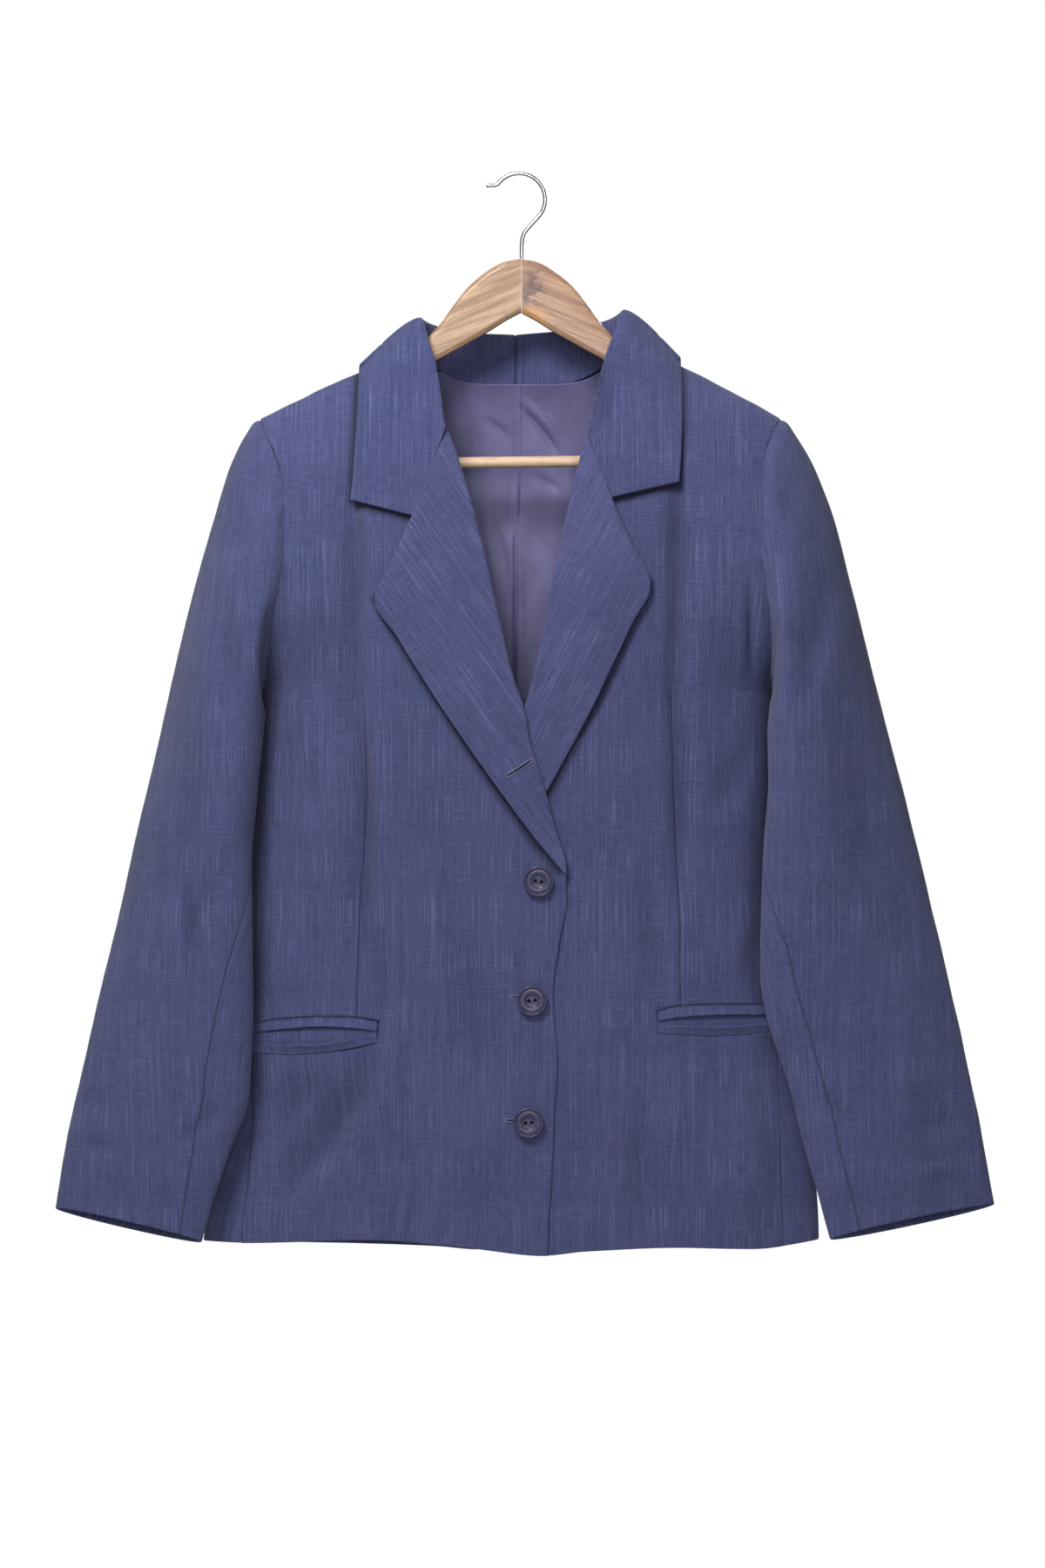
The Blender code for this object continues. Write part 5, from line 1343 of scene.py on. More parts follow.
@dataclass
class Buttons:
    """Turned buttons with a raised rim, a groove, a dished face and two holes."""

    radius: float = 0.0115
    thickness: float = 0.0036
    hole_radius: float = 0.00142
    hole_spacing: float = 0.0047
    seat: float = 0.0009
    shank_radius: float = 0.0036
    shank_ends: tuple[float, float] = (0.0004, 0.0002)
    footing: float = 0.004
    hole_sides: int = 24
    drill_span: tuple[float, float] = (-1.0, 2.0)
    sharp: float = math.radians(40)
    places: tuple[Point, ...] = (
        (0.0133, -0.5343, math.radians(-12)),
        (0.0085, -0.6240, math.radians(8)),
        (0.0059, -0.7158, math.radians(5)))
    profile: Rows = Rows("reach rise", """
        4 46, 20 45.5, 36 45, 40.5 47, 43 55, 45.5 66, 50 72, 58 74.5, 66 75, 74 74, 79.5 70, 81.5 66,
        83 67, 84.5 78, 86.5 91, 89 98, 92 100, 95 97.5, 97.5 91, 99.2 80, 100 66, 100 42, 98.5 25,
        95 12, 88 3, 78 0, 50 0, 4 0""", 100.0)

    def lathe(self, name: str, reach: Array, rise: Array, axes: Array, place: Array,
              middle: tuple[float, float] = (0.0, 0.0), around: int = 96) -> Piece:
        """Body turned about an axis of the button.

        Args:
            name: name of the piece.
            reach: radii of its rings.
            rise: heights of its rings.
            axes: the button's three directions.
            place: its middle.
            middle: where the axis stands on the button.
            around: points in each ring.

        Returns:
            The new object.
        """
        angle = circle(around)
        rings = stack(middle[0] + reach[:, None] * np.cos(angle),
                      middle[1] + reach[:, None] * np.sin(angle), rise[:, None])
        return loft(name, rings @ axes + place)

    def build(self) -> None:
        """Lathe each button about its own axis, drill it, and set it on the right front."""
        reach, rise = (column * size for column, size in zip(self.profile.columns.values(),
                                                             (self.radius, self.thickness)))
        for number, (x, z, turn) in enumerate(self.places, start=1):
            corner = FIGURE.points(x + self.footing * np.array((0, 1, 0)),
                                   z + self.footing * np.array((0, 0, 1)), FRONT, 0.0)
            right, up = corner[1] - corner[0], corner[2] - corner[0]
            axes = np.stack([axis / np.linalg.norm(axis) for axis in (right, up, np.cross(right, up))])
            place = corner[0] + axes[2] * self.seat
            button = self.lathe("button_%d_turned" % number, reach, rise, axes, place)
            for hole in (-0.5, 0.5):
                off = hole * self.hole_spacing
                self.drill(button, (off * math.cos(turn), off * math.sin(turn)), axes, place)
            low, high = self.shank_ends
            # the thread shank under the button, coloured near-black: real thread with painted shadow
            thread = self.lathe("button_%d_shank" % number, np.full(2, self.shank_radius),
                                np.array((-self.seat - low, high)), axes, place)
            fit_frame(thread, "button_resin", PAINTED_SHADOW)
            button.data.materials.clear()
            fit_frame(button, "button_resin", RESIN, "button_%d" % number)
            button.data.set_sharp_from_angle(angle=self.sharp)

    def drill(self, button: Piece, middle: tuple[float, float], axes: Array, place: Array) -> None:
        """Cut one round hole, and keep the cut mesh as the button's own."""
        ends = np.array(self.drill_span) * self.thickness
        cutter = self.lathe("drill", np.full(2, self.hole_radius), ends, axes, place, middle,
                            self.hole_sides)
        cut = button.modifiers.new("hole", "BOOLEAN")
        cut.operation, cut.object, cut.solver = "DIFFERENCE", cutter, "EXACT"
        graph = bpy.context.evaluated_depsgraph_get()
        old = button.data
        button.data = bpy.data.meshes.new_from_object(button.evaluated_get(graph))
        button.modifiers.clear()
        bpy.data.objects.remove(cutter, do_unlink=True)
        bpy.data.meshes.remove(old)


@dataclass
class Hanger:
    """Two wooden arms jointed in the middle, a round bar between their tips, a wire hook."""

    seat: float = 0.0043
    depth: float = 0.0170
    joint: float = 0.0007
    joint_gap: float = 0.00015
    tip: float = 0.1950
    tip_bottom: float = -0.2280
    shoulder_start: float = 0.085
    shoulder_rows: int = 12
    neck_steps: int = 60
    arm_steps: tuple[float, float, int] = (0.088, 0.180, 40)
    bar_marks: tuple[float, ...] = (-0.0006, 0, 0.0004, 0.0012)
    tip_marks: tuple[float, ...] = (0.0065, 0.004, 0.002, 0.0008, 0.0002, 0)
    bar_fade: float = 0.0012
    arm_sharp: float = math.radians(35)
    tip_round: float = 0.004
    tip_fall: float = 0.0045
    tip_rise: float = 0.0040
    squash: float = 0.7
    bar_reach: float = 0.1835
    bar_radius: float = 0.0043
    bar_height: float = -0.21735
    bar_slope: float = 0.0117
    bar_steps: int = 40
    bar_sides: int = 32
    bar_turns: tuple[float, float, int] = (0.12, math.pi / 2, 3)
    bar_face: float = 0.9
    bar_sharp: float = math.radians(50)
    wire: float = 0.0015
    wire_sides: int = 24
    wire_sharp: float = math.radians(60)
    wire_tip: tuple[tuple[float, float], ...] = ((0.0006, 0.0006), (0.0004, 0.0011), (0.0002, 0.0014))
    hook_turns: tuple[float, float, int] = (150, -42, 60)
    hook_passes: int = 3
    hook_radius: float = 0.0198
    hook_centre: tuple[float, float] = (-0.0013, -0.0183)
    neck: Rows = Rows("reach top bottom", """
        0 -63.4 -104.3, 11.5 -65.5 -110.5, 25 -72.5 -119, 40 -85 -127.5, 50 -97.5 -133, 60 -111.5 -138.5,
        70 -122.5 -144, 78 -133.6 -149.5""")
    # the front half of an arm's section; "upper" is above 0 where "off" is from the upper edge
    section: Rows = Rows("depth upper off", """
        0.6 1 0, 2.2 1 -0.2, 3.6 1 -0.8, 4.8 1 -1.9, 5.6 1 -3.4, 6 1 -5.4, 6 0 5.2, 6 0 3.6,
        5.8 0 3.2, 4.6 0 0.9, 4.2 0 0.4, 3.6 0 0.1, 2.8 0 0, 0.6 0 0""")
    flick: tuple[tuple[float, float], ...] = (
        (-0.0257, -0.0080), (-0.0240, -0.0076), (-0.0222, -0.0072))
    bend: tuple[tuple[float, float], ...] = (
        (0.0072, -0.0382), (0.0050, -0.0405), (0.0028, -0.0428), (0.0013, -0.0452))
    stem: tuple[float, ...] = (-0.0480, -0.0520, -0.0560, -0.0600, -0.0630)

    def build_arm(self, side: Side) -> None:
        """One arm: a rounded section with a bevelled lower edge, carried along its reach.

        In the neck its upper and lower edges are the table's; under the shoulder the
        upper edge runs just below the cloth, and the tip drops to hold the bar.
        """
        cover = np.linspace(self.shoulder_start, self.tip - self.tip_round, self.shoulder_rows)
        steps = np.concatenate((np.linspace(0, self.shoulder_start, self.neck_steps),
                                np.linspace(*self.arm_steps), self.bar_reach + np.array(self.bar_marks),
                                self.tip - np.array(self.tip_marks)))
        under = FIGURE.shoulder(side.value * cover) - self.seat
        neck = stack(*self.neck.columns.values())
        joined = Rows("reach top bottom", np.concatenate((neck, stack(cover, under, under - self.depth))))
        top, bottom = joined.at("top", steps), joined.at("bottom", steps)
        bottom = bottom + (self.tip_bottom - bottom) * ease((steps - self.bar_reach) / self.bar_fade + 0.5)
        near_tip = np.clip((steps - self.tip) / self.tip_round + 1, 0, 1)
        corner = np.sqrt(np.maximum(1 - near_tip ** 2, 0))
        top, bottom = top - self.tip_fall * (1 - corner), bottom + self.tip_rise * (1 - corner)
        y, upper, off = self.section.columns.values()
        squash = self.squash + (1 - self.squash) * corner[:, None]
        z = np.where(upper > 0, top[:, None], bottom[:, None]) + off * squash
        x = np.where(steps == 0, self.joint + side.value * self.joint_gap, side.value * steps)
        front = stack(x[:, None], -y * squash, z)
        back = front[:, ::-1] * (1, -1, 1)
        piece = loft("hanger_arm_%s_wood" % side.word, np.concatenate((front, back), axis=1))
        fit_frame(piece, "hanger_wood", RIGHT_ARM if side is Side.RIGHT else LEFT_ARM,
                  "hanger_arm_" + side.word)
        piece.data.set_sharp_from_angle(angle=self.arm_sharp)

    def build_bar(self) -> None:
        """Round bar between the arms' tips, falling a little to the right, its ends rounded."""
        angle = np.linspace(*self.bar_turns)
        near = self.bar_radius * (1 - np.cos(angle)) - self.bar_reach
        end = self.bar_reach - self.bar_radius
        even = np.linspace(-end, end, self.bar_steps)[1:-1]
        x = np.concatenate((near, even, -near[::-1]))
        size = self.bar_radius * np.maximum(np.sin(angle), self.bar_face)
        radius = np.concatenate((size, np.full(len(even), self.bar_radius), size[::-1]))
        path = stack(x, 0, self.bar_height + self.bar_slope * x)
        piece = loft("hanger_bar_wood", tube(path, radius, self.bar_sides))
        fit_frame(piece, "hanger_wood", BAR_WOOD, "hanger_bar")
        piece.data.set_sharp_from_angle(angle=self.bar_sharp)

    def build_hook(self) -> None:
        """Wire along a flicked tip, an arc over the rail, a bend and a straight stem.

        The corners of the line are rounded by passes of averaging.
        """
        angle = np.radians(np.linspace(*self.hook_turns))
        arc = np.array(self.hook_centre) + self.hook_radius * stack(np.cos(angle), np.sin(angle))
        stem = stack(self.joint, np.array(self.stem))
        line = np.concatenate((self.flick, arc, self.bend, stem))
        for _ in range(self.hook_passes):
            line[1:-1] = (line[:-2] + 2 * line[1:-1] + line[2:]) / 4
        path = stack(line[:, 0], 0, line[:, 1])
        out = (path[0] - path[1]) / np.linalg.norm(path[0] - path[1])
        past, size = np.array(self.wire_tip).T
        path = np.concatenate((path[0] + out * past[:, None], path))
        radius = np.concatenate((size, np.full(len(line), self.wire)))
        piece = loft("hanger_hook_wire", tube(path, radius, self.wire_sides))
        fit_frame(piece, "hook_chrome", CHROME, "hanger_hook")
        piece.data.set_sharp_from_angle(angle=self.wire_sharp)

    def build(self) -> None:
        """Arms, bar and hook."""
        for side in Side:
            self.build_arm(side)
        self.build_bar()
        self.build_hook()


def srgb(red: float, green: float, blue: float) -> tuple[float, float, float, float]:
    """Linear colour from screen values of 0 to 255."""
    return (*(v / 12.92 if v <= 0.04045 else ((v + 0.055) / 1.055) ** 2.4
              for v in (red / 255, green / 255, blue / 255)), 1.0)


class Graph:
    """Short calls for building a node tree."""

    def __init__(self, tree: bpy.types.NodeTree) -> None:
        """Keep the tree."""
        self.tree = tree

    def add(self, kind: str, **settings: object) -> bpy.types.Node:
        """New node with its settings."""
        node = self.tree.nodes.new("ShaderNode" + kind)
        for name, value in settings.items():
            setattr(node, name, value)
        return node

    def put(self, node: bpy.types.Node, values: dict[str | int, object]) -> bpy.types.Node:
        """Link outputs to a node's inputs, or set the inputs to plain values."""
        for name, value in values.items():
            if isinstance(value, Socket):
                self.tree.links.new(value, node.inputs[name])
            else:
                node.inputs[name].default_value = value
        return node

    def place(self) -> Socket:
        """Place on the object, which is the place in the scene."""
        return self.add("TexCoord").outputs["Object"]

    def cut(self) -> Socket:
        """Place on the flat cloth."""
        return self.add("UVMap", uv_map="cut").outputs[0]

    def seam(self, share: float) -> Socket:
        """The cloth's share of painted seam shade, times a share."""
        return self.times(self.add("Attribute", attribute_name="seam").outputs["Fac"], share)

    def math(self, operation: str, a: object, b: object = 0.0) -> Socket:
        """Result of one sum on two values."""
        return self.put(self.add("Math", operation=operation), {0: a, 1: b}).outputs[0]

    def times(self, a: object, b: object) -> Socket:
        """Product of two values."""
        return self.math("MULTIPLY", a, b)

    def total(self, start: object, *parts: tuple[Socket, float]) -> Socket:
        """Sum of a value and some weighted values."""
        for value, weight in parts:
            start = self.math("ADD", start, self.times(value, weight))
        return start

    def vector(self, operation: str, a: object, b: object = (0.0, 0.0, 0.0)) -> Socket:
        """Result of one sum on two vectors: a vector, or a number for a product or length."""
        node = self.put(self.add("VectorMath", operation=operation), {0: a, 1: b})
        return node.outputs["Value" if operation in ("DOT_PRODUCT", "LENGTH") else "Vector"]

    def noise(self, vector: object, scale: Point, detail: float = 2.0, distortion: float = 0.0) -> Socket:
        """Noise of about 0.3 to 0.7 with its own number of cells in a metre on each axis."""
        place = self.vector("MULTIPLY", vector, scale)
        return self.put(self.add("TexNoise"), {"Vector": place, "Scale": 1.0, "Detail": detail,
                                               "Distortion": distortion}).outputs["Fac"]

    def span(self, value: object, low: float, high: float, out_low: object = 0.0,
             out_high: float = 1.0) -> Socket:
        """Value carried smoothly from one span to another, and held at its ends."""
        values = dict(enumerate((value, low, high, out_low, out_high)))
        return self.put(self.add("MapRange", interpolation_type="SMOOTHSTEP"), values).outputs[0]

    def mix(self, share: object, a: Socket | Colour, b: Socket | Colour) -> Socket:
        """Colour between two colours, each an output or screen values."""
        a, b = (srgb(*colour) if isinstance(colour, tuple) else colour for colour in (a, b))
        return self.put(self.add("Mix", data_type="RGBA"), {0: share, 6: a, 7: b}).outputs[2]

    def group(self, tree: bpy.types.NodeTree, **inputs: object) -> dict[str, Socket]:
        """Outputs of a node group with its inputs."""
        return self.put(self.add("Group", node_tree=tree), inputs).outputs


def node_group(name: str, source: str, fill: Callable[[Graph, Socket], dict[str, object]]
               ) -> bpy.types.NodeTree:
    """Node group from one place to a few plain values, built at its first use.

    Args:
        name: its name.
        source: name of its input.
        fill: makes its nodes and returns its outputs' values by name.

    Returns:
        The group's tree.
    """
    if name in bpy.data.node_groups:
        return bpy.data.node_groups[name]
    tree = bpy.data.node_groups.new(name, "ShaderNodeTree")
    tree.interface.new_socket(source, in_out="INPUT", socket_type="NodeSocketVector")
    values = fill(Graph(tree), tree.nodes.new("NodeGroupInput").outputs[source])
    for socket in values:
        tree.interface.new_socket(socket, in_out="OUTPUT", socket_type="NodeSocketFloat")
    Graph(tree).put(tree.nodes.new("NodeGroupOutput"), values)
    return tree


YARN_PITCH = 0.00055
TONE_START = -0.26


def slub_weave(graph: Graph, cut: Socket) -> dict[str, object]:
    """Plain weave of uneven yarns: thick light streaks along the warp, few across.

    Tone adds up long narrow noises: fine yarns, thick yarns above a threshold, and
    broad bands. Hue drifts in soft patches. Relief is a product of two sines at the
    yarns' pitch, with the thick yarns standing higher.
    """
    slub = graph.span(graph.noise(cut, (1250, 26, 1), 0.0), 0.58, 0.74)
    long_slub = graph.span(graph.noise(cut, (1100, 8, 1), 0.0), 0.62, 0.76)
    weft = graph.span(graph.noise(cut, (34, 1350, 1), 0.0), 0.60, 0.76)
    fine, fine_weft = (graph.noise(cut, scale, 1.0) for scale in ((1700, 90, 1), (120, 1300, 1)))
    bands, patch = (graph.noise(cut, scale, 2.0) for scale in ((420, 4, 1), (22, 12, 1)))
    tone = graph.total(TONE_START, (slub, 0.26), (long_slub, 0.22), (fine, 0.46), (weft, 0.14),
                       (fine_weft, 0.42), (bands, 0.12), (patch, 0.05))
    hue = graph.total(0.0, (patch, 1.2), (bands, 1.1))
    part = graph.put(graph.add("SeparateXYZ"), {0: cut}).outputs
    warp, weft = (graph.math("SINE", graph.times(part[i], 2 * math.pi / YARN_PITCH)) for i in (0, 1))
    return {"Tone": tone, "Hue": graph.span(hue, 0.75, 1.55),
            "Relief": graph.total(tone, (graph.times(warp, weft), 0.25), (slub, 0.3))}


def wood_grain(graph: Graph, place: Socket) -> dict[str, object]:
    """Straight grain along the first axis: broad bands, fine fibres and short dark pores."""
    return {"Bands": graph.noise(place, (9, 120, 160), 3.0, 0.6),
            "Fibre": graph.noise(place, (45, 900, 900), 2.0),
            "Pores": graph.span(graph.noise(place, (110, 1500, 1500), 1.0), 0.60, 0.70)}


# painted shade beside edges: its span and share for each kind of line
SHADE_ENDS = {"edge": (0.009, 0.001, 0.0, 1.0), "sleeve": (0.018, 0.002, 0.0, 0.5)}
UNDERARM_POINT = (0.187, -0.300)


def edge_lines(side: Side) -> dict[str, list[list[tuple[float, float]]]]:
    """Lines of a side that lie on its front: collar and lapel edge, and the sleeve's edge.

    The left lapel's line ends where the right front covers it.
    """
    def along(rows: Rows, end: str, *shares: float) -> list[tuple[float, float]]:
        """Places of one of a table's lines at some shares of its length."""
        return [(rows.at(end + "_x", share), rows.at(end + "_z", share)) for share in shares]

    lapel = (0.2, 0.32, 0.45, 0.6, 0.75, 0.88, 0.98)[:7 if side is Side.RIGHT else 5]
    sleeve = [(side.value * x, z) for x, z in (
        UNDERARM_POINT, *along(SLEEVES[side], "inner", 0.2, 0.42, 0.54, 0.66, 0.78, 0.93))]
    return {"edge": [along(COLLARS[side], "edge", 0.64, 0.82, 1.0) + [NOTCH[side]],
                     along(LAPELS[side], "outer", *lapel)], "sleeve": [sleeve]}


def edge_shade(graph: Graph, place: Socket) -> dict[str, object]:
    """Share of shade beside the edges that lie on the fronts, by place in the front view.

    It is 1 on the collar's and lapels' edges and falls to 0 at 9 mm from them; beside the
    sleeves it is 0.5 and falls to 0 at 18 mm.
    """
    flat = graph.vector("MULTIPLY", place, (1, 0, 1))
    nearest: dict[str, object] = dict.fromkeys(SHADE_ENDS, 1.0)
    pieces = [(kind, *ends) for side in Side for kind, lines in edge_lines(side).items()
              for line in lines for ends in zip(line[:-1], line[1:])]
    for kind, (x0, z0), (x1, z1) in pieces:
        run = np.array((x1 - x0, 0, z1 - z0), float)
        off = graph.vector("SUBTRACT", flat, (x0, 0, z0))
        along = graph.vector("DOT_PRODUCT", off, tuple(run / (run @ run)))
        along = graph.math("MAXIMUM", graph.math("MINIMUM", along, 1.0), 0.0)
        step = graph.put(graph.add("VectorMath", operation="SCALE"), {0: tuple(run), "Scale": along})
        gap = graph.vector("LENGTH", graph.vector("SUBTRACT", off, step.outputs[0]))
        nearest[kind] = graph.math("MINIMUM", gap, nearest[kind])
    return {"Shade": graph.math("MAXIMUM", *(graph.span(nearest[kind], *ends)
                                             for kind, ends in SHADE_ENDS.items()))}


Look = tuple[dict[str, object], Socket]


@dataclass(frozen=True)
class Finish:
    """A material made once and shared by the pieces that wear it; its relief is in metres."""

    name: str
    dark: Colour
    light: Colour
    relief: ClassVar[float]

    def blend(self, graph: Graph, share: object) -> Socket:
        """Colour between the finish's dark and light ones."""
        return graph.mix(share, self.dark, self.light)

    def material(self) -> bpy.types.Material:
        """The finish's material, built at its first use: its inputs, and its relief's bump."""
        if self.name in bpy.data.materials:
            return bpy.data.materials[self.name]
        made = bpy.data.materials.new(self.name)
        made.use_nodes = True
        graph = Graph(made.node_tree)
        inputs, height = self.dress(graph)
        bump = graph.put(graph.add("Bump"), {"Distance": self.relief, "Strength": 1.0, "Height": height})
        graph.put(made.node_tree.nodes["Principled BSDF"], inputs | {"Normal": bump.outputs["Normal"]})
        return made

    def dress(self, graph: Graph) -> Look:
        """Nodes of the finish.

        Args:
            graph: the material's nodes.

        Returns:
            Values of the shader's inputs, and the relief's height as a share.
        """
        raise NotImplementedError


@dataclass(frozen=True)
class SuitCloth(Finish):
    """Slate blue suiting with slubs, from its dark yarns to its light ones."""

    relief: ClassVar[float] = 0.00022
    violet: Colour = (98, 84, 134)
    violet_share: float = 0.20
    shadow: Colour = (15, 17, 34)
    seam_shade: float = 0.85
    edge_shade: float = 0.78
    # painted shade on the fronts beside the collar's and lapels' edges and beside the sleeves
    under_edges: bool = False

    def dress(self, graph: Graph) -> Look:
        """Tone runs between the two blues and hue leans to violet in patches; painted seam shade and, on the
        fronts, painted shade under edges darken it towards the shadow colour.
        """
        weave = graph.group(node_group("slub_weave", "Cut", slub_weave), Cut=graph.cut())
        blue = self.blend(graph, weave["Tone"])
        colour = graph.mix(graph.times(weave["Hue"], self.violet_share), blue, self.violet)
        # painted shade: seams, grooves and troughs darken towards the shadow colour
        seam = graph.seam(self.seam_shade)
        if self.under_edges:
            shade = graph.group(node_group("edge_shade", "Place", edge_shade), Place=graph.place())
            seam = graph.math("MAXIMUM", seam, graph.times(shade["Shade"], self.edge_shade))
        return {"Base Color": graph.mix(seam, colour, self.shadow),
                "Roughness": graph.span(weave["Tone"], 0.1, 0.8, 0.92, 0.74),
                "Specular IOR Level": 0.28, "Sheen Weight": 0.12,
                "Sheen Roughness": 0.5}, weave["Relief"]


@dataclass(frozen=True)
class LiningSatin(Finish):
    """Purplish grey satin with a faint horizontal yarn and a soft gloss."""

    relief: ClassVar[float] = 0.00003
    shadow: Colour = (26, 22, 40)
    seam_shade: float = 0.8

    def dress(self, graph: Graph) -> Look:
        """Two greys mixed by long noises; the gloss varies with them."""
        cut = graph.cut()
        yarn = graph.noise(cut, (90, 2200, 1), 1.0)
        patch = graph.noise(cut, (28, 20, 1), 3.0)
        tone = graph.span(graph.total(patch, (yarn, 0.5)), 0.45, 1.05)
        # painted seam shade: the lining's centre seam and its troughs darken towards the shadow colour
        colour = graph.mix(graph.seam(self.seam_shade), self.blend(graph, tone), self.shadow)
        return {"Base Color": colour,
                "Roughness": graph.span(tone, 0, 1, 0.52, 0.42),
                "Specular IOR Level": 0.25}, yarn


@dataclass(frozen=True)
class ButtonResin(Finish):
    """Dark mottled resin, polished."""

    relief: ClassVar[float] = 0.000008
    fleck: Colour = (116, 110, 136)
    fleck_share: float = 0.08

    def dress(self, graph: Graph) -> Look:
        """A dark plum clouded with grey, smooth where it is dark."""
        place = graph.place()
        cloud = graph.noise(place, (190, 190, 320), 3.0, 0.8)
        fleck = graph.span(graph.noise(place, (900, 900, 900), 1.0), 0.60, 0.75)
        base = self.blend(graph, graph.span(cloud, 0.36, 0.66))
        return {"Base Color": graph.mix(graph.times(fleck, self.fleck_share), base, self.fleck),
                "Roughness": graph.span(cloud, 0.35, 0.7, 0.24, 0.30),
                "Specular IOR Level": 0.34}, cloud


@dataclass(frozen=True)
class VarnishedWood(Finish):
    """Varnished wood: its colours, the turn of its grain, and a stain at the joint."""

    relief: ClassVar[float] = 0.00012
    turn: float = 0.0
    stained: bool = False
    pore: Colour = (112, 78, 60)
    pore_share: float = 0.45
    stain: Colour = (86, 64, 66)
    stain_share: float = 0.75
    glow: Colour = (206, 152, 92)
    glow_share: float = 0.7

    def dress(self, graph: Graph) -> Look:
        """Grain on turned object places; under the joint's dark stain the edge is warmer."""
        place = graph.place()
        turned = graph.put(graph.add("Mapping"), {"Rotation": (0.0, self.turn, 0.0), "Vector": place})
        grain = graph.group(node_group("wood_grain", "Place", wood_grain), Place=turned.outputs[0])
        tone = graph.total(0.0, (grain["Bands"], 0.9), (grain["Fibre"], 0.55))
        colour = self.blend(graph, graph.span(tone, 0.50, 0.96))
        colour = graph.mix(graph.times(grain["Pores"], self.pore_share), colour, self.pore)
        if self.stained:
            blotch = graph.span(graph.noise(place, (90, 90, 150), 3.0), 0.36, 0.56)
            spot = self.spot(graph, place, (0.0085, 0.0, -0.0855), (62, 30, 44))
            stained = graph.times(graph.times(spot, blotch), self.stain_share)
            colour = graph.mix(stained, colour, self.stain)
            glow = self.spot(graph, place, (0.008, 0.0, -0.1075), (60, 30, 90))
            colour = graph.mix(graph.times(glow, self.glow_share), colour, self.glow)
        return {"Base Color": colour, "Roughness": graph.span(tone, 0.5, 0.95, 0.50, 0.36),
                "Coat Weight": 0.25, "Coat Roughness": 0.22}, tone

    def spot(self, graph: Graph, place: Socket, centre: Point, scale: Point) -> Socket:
        """Soft round mask about a centre, 1 inside and 0 beyond a scaled distance of 1."""
        off = graph.vector("MULTIPLY", graph.vector("SUBTRACT", place, centre), scale)
        return graph.span(graph.vector("LENGTH", off), 1.0, 0.35)


@dataclass(frozen=True)
class Chrome(Finish):
    """Bright plated wire with faint drawing marks."""

    relief: ClassVar[float] = 0.00001

    def dress(self, graph: Graph) -> Look:
        """Metal whose roughness varies in small patches."""
        marks = graph.noise(graph.place(), (500, 500, 500), 3.0)
        return {"Base Color": self.blend(graph, marks), "Metallic": 1.0,
                "Roughness": graph.span(marks, 0.3, 0.7, 0.10, 0.20)}, marks


@dataclass(frozen=True)
class Thread(Finish):
    """Sewing thread; in near-black colours, painted shadow in a buttonhole's slit and on a button's shank."""

    relief: ClassVar[float] = 0.00005

    def dress(self, graph: Graph) -> Look:
        """Strands mixed from two blues by a fine noise."""
        strand = graph.noise(graph.place(), (1300, 1300, 2600), 2.0)
        return {"Base Color": self.blend(graph, graph.span(strand, 0.35, 0.65)),
                "Roughness": graph.span(strand, 0.3, 0.7, 0.8, 0.6)}, strand


SUIT = SuitCloth("slate_suiting", (43, 50, 88), (107, 116, 163))
# the suiting with painted shade beside the collar's and lapels' edges and beside the sleeves
FRONT_CLOTH = SuitCloth("front_suiting", SUIT.dark, SUIT.light, under_edges=True)
# The lapels' suiting is a little lighter than the rest and the collar's a little darker: the collar's darker
# copy is painted shade, toning down the light from above that falls most on it.
LAPEL_CLOTH = SuitCloth("lapel_suiting", (45, 51, 90), (111, 119, 166), (101, 88, 142))
FACING_CLOTH = SuitCloth("collar_suiting", (42, 49, 87), (104, 113, 160), (95, 83, 136))
SATIN = LiningSatin("lining_satin_weave", (95, 92, 130), (115, 111, 155))
RESIN = ButtonResin("polished_button_resin", (62, 60, 86), (72, 70, 100))
RIGHT_ARM = VarnishedWood("tan_hanger_wood", (154, 117, 88), (200, 167, 136), math.radians(22))
LEFT_ARM = VarnishedWood("red_hanger_wood", (148, 110, 88), (194, 156, 128), math.radians(-22), True)
BAR_WOOD = VarnishedWood("pale_bar_wood", (206, 168, 134), (228, 197, 166))
CHROME = Chrome("plated_wire", (196, 197, 202), (228, 228, 232))
STITCHING = Thread("buttonhole_thread", (62, 66, 104), (118, 122, 160))
# painted shadow: near-black, for the buttonholes' slits and the buttons' shanks
PAINTED_SHADOW = Thread("buttonhole_shadow", (14, 15, 26), (26, 28, 44))


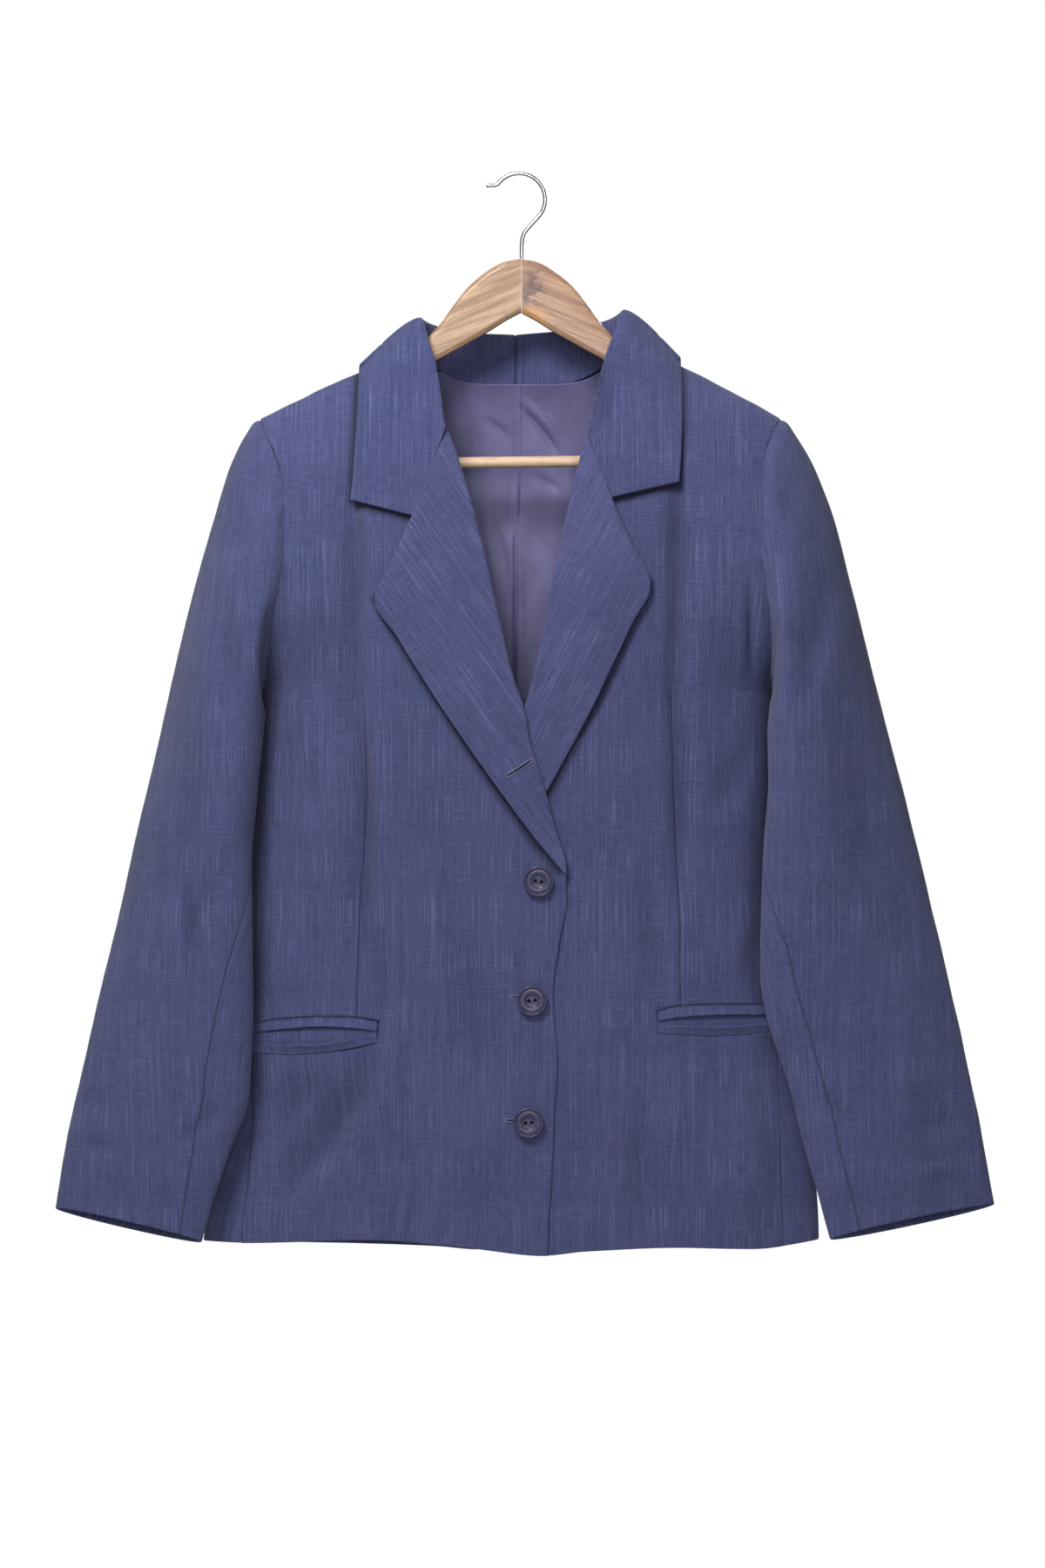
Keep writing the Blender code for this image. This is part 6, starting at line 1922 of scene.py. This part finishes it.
@dataclass
class Studio:
    """Pale floor, four soft lights, a white room and the camera."""

    eye: Point = (0.00132, -5.0, -0.4613)
    lens: float = 151.5
    sensor: float = 36.0
    floor_height: float = -1.3
    floor_reach: float = 1.3
    floor_clear: float = 0.5
    floor_grey: float = 214
    floor_sides: int = 96
    floor_rings: tuple[float, int] = (0.0001, 12)
    lights: tuple[tuple[str, Point, float, float], ...] = (
        ("key", (-0.60, -1.35, 1.0), 0.6, 37.5),
        ("fill", (0.1, -3.9, 0.0), 1.2, 34.5),
        ("top", (0.0, 0.3, 2.2), 1.2, 9.0),
        ("back", (0.6, 2.8, 0.7), 1.2, 30.0))
    aim: Point = (0.0, 0.0, -0.45)
    ambient: float = 0.21
    mirrored: float = 0.16

    def add(self, name: str, data: bpy.types.ID, place: Point, turn: Point) -> Piece:
        """New object in the scene from its data, place and turn."""
        made = bpy.data.objects.new(name, data)
        made.location, made.rotation_euler = place, turn
        bpy.context.scene.collection.objects.link(made)
        return made

    def build_camera(self) -> None:
        """Level camera square to the blazer."""
        data = bpy.data.cameras.new("camera")
        data.lens, data.sensor_width, data.sensor_fit = self.lens, self.sensor, "AUTO"
        bpy.context.scene.camera = self.add("camera", data, self.eye, (math.pi / 2, 0.0, 0.0))

    def build_lights(self) -> None:
        """Square soft lights turned to the blazer, and a white room round them."""
        for name, place, size, power in self.lights:
            data = bpy.data.lights.new(name + "_light", "AREA")
            data.shape, data.size, data.energy = "SQUARE", size, power
            x, y, z = np.array(self.aim) - np.array(place)
            turn = (math.atan2(math.hypot(x, y), -z), 0.0, math.atan2(-x, y))
            self.add(name + "_light", data, place, turn)
        world = bpy.data.worlds.new("white_room")
        world.use_nodes = True
        graph = Graph(world.node_tree)
        rays = graph.add("LightPath").outputs
        level = graph.span(rays["Is Glossy Ray"], 0.0, 1.0, self.ambient, self.mirrored)
        level = graph.span(rays["Is Camera Ray"], 0.0, 1.0, level, 1.0)
        graph.put(world.node_tree.nodes["Background"], {"Color": srgb(255, 255, 255), "Strength": level})
        bpy.context.scene.world = world

    def build_floor(self) -> None:
        """Round pale floor under the blazer, fading to its rim and clear from below."""
        rim = np.linspace(2 * np.pi, 0, self.floor_sides + 1)[:-1]
        start, count = self.floor_rings
        reach = np.linspace(start, self.floor_reach, count)[:, None]
        rings = stack(reach * np.cos(rim), reach * np.sin(rim), self.floor_height)
        index = np.arange(rings.size // 3).reshape(rings.shape[:2])
        quads = grid_quads(np.concatenate((index, index[:, :1]), axis=1))
        floor = make_piece("studio_floor", rings.reshape(-1, 3), quads)
        white = bpy.data.materials.new("pale_floor")
        white.use_nodes = True
        graph = Graph(white.node_tree)
        reach = graph.vector("LENGTH", graph.vector("MULTIPLY", graph.place(), (1, 1, 0)))
        fade = graph.span(reach, self.floor_reach, self.floor_clear)
        above = graph.add("NewGeometry").outputs["Backfacing"]
        graph.put(white.node_tree.nodes["Principled BSDF"], {
            "Base Color": srgb(*[self.floor_grey] * 3), "Roughness": 0.9,
            "Alpha": graph.times(above, fade)})
        floor.data.materials.append(white)

    def build(self) -> None:
        """Camera, lights and floor, with plain screen colours."""
        self.build_camera()
        self.build_lights()
        self.build_floor()
        bpy.context.scene.view_settings.view_transform = "Standard"


def main() -> None:
    """Build every part in order."""
    logging.basicConfig(level=logging.INFO, format="%(name)s: %(message)s")
    for part in (Studio(), Fronts(), Backs(), Sleeves(), Collar(), Lapels(), Pockets(),
                 Hanger(), Buttonholes(), Buttons()):
        LOG.info("building the %s", type(part).__name__.lower())
        part.build()


if __name__ == "__main__":
    main()
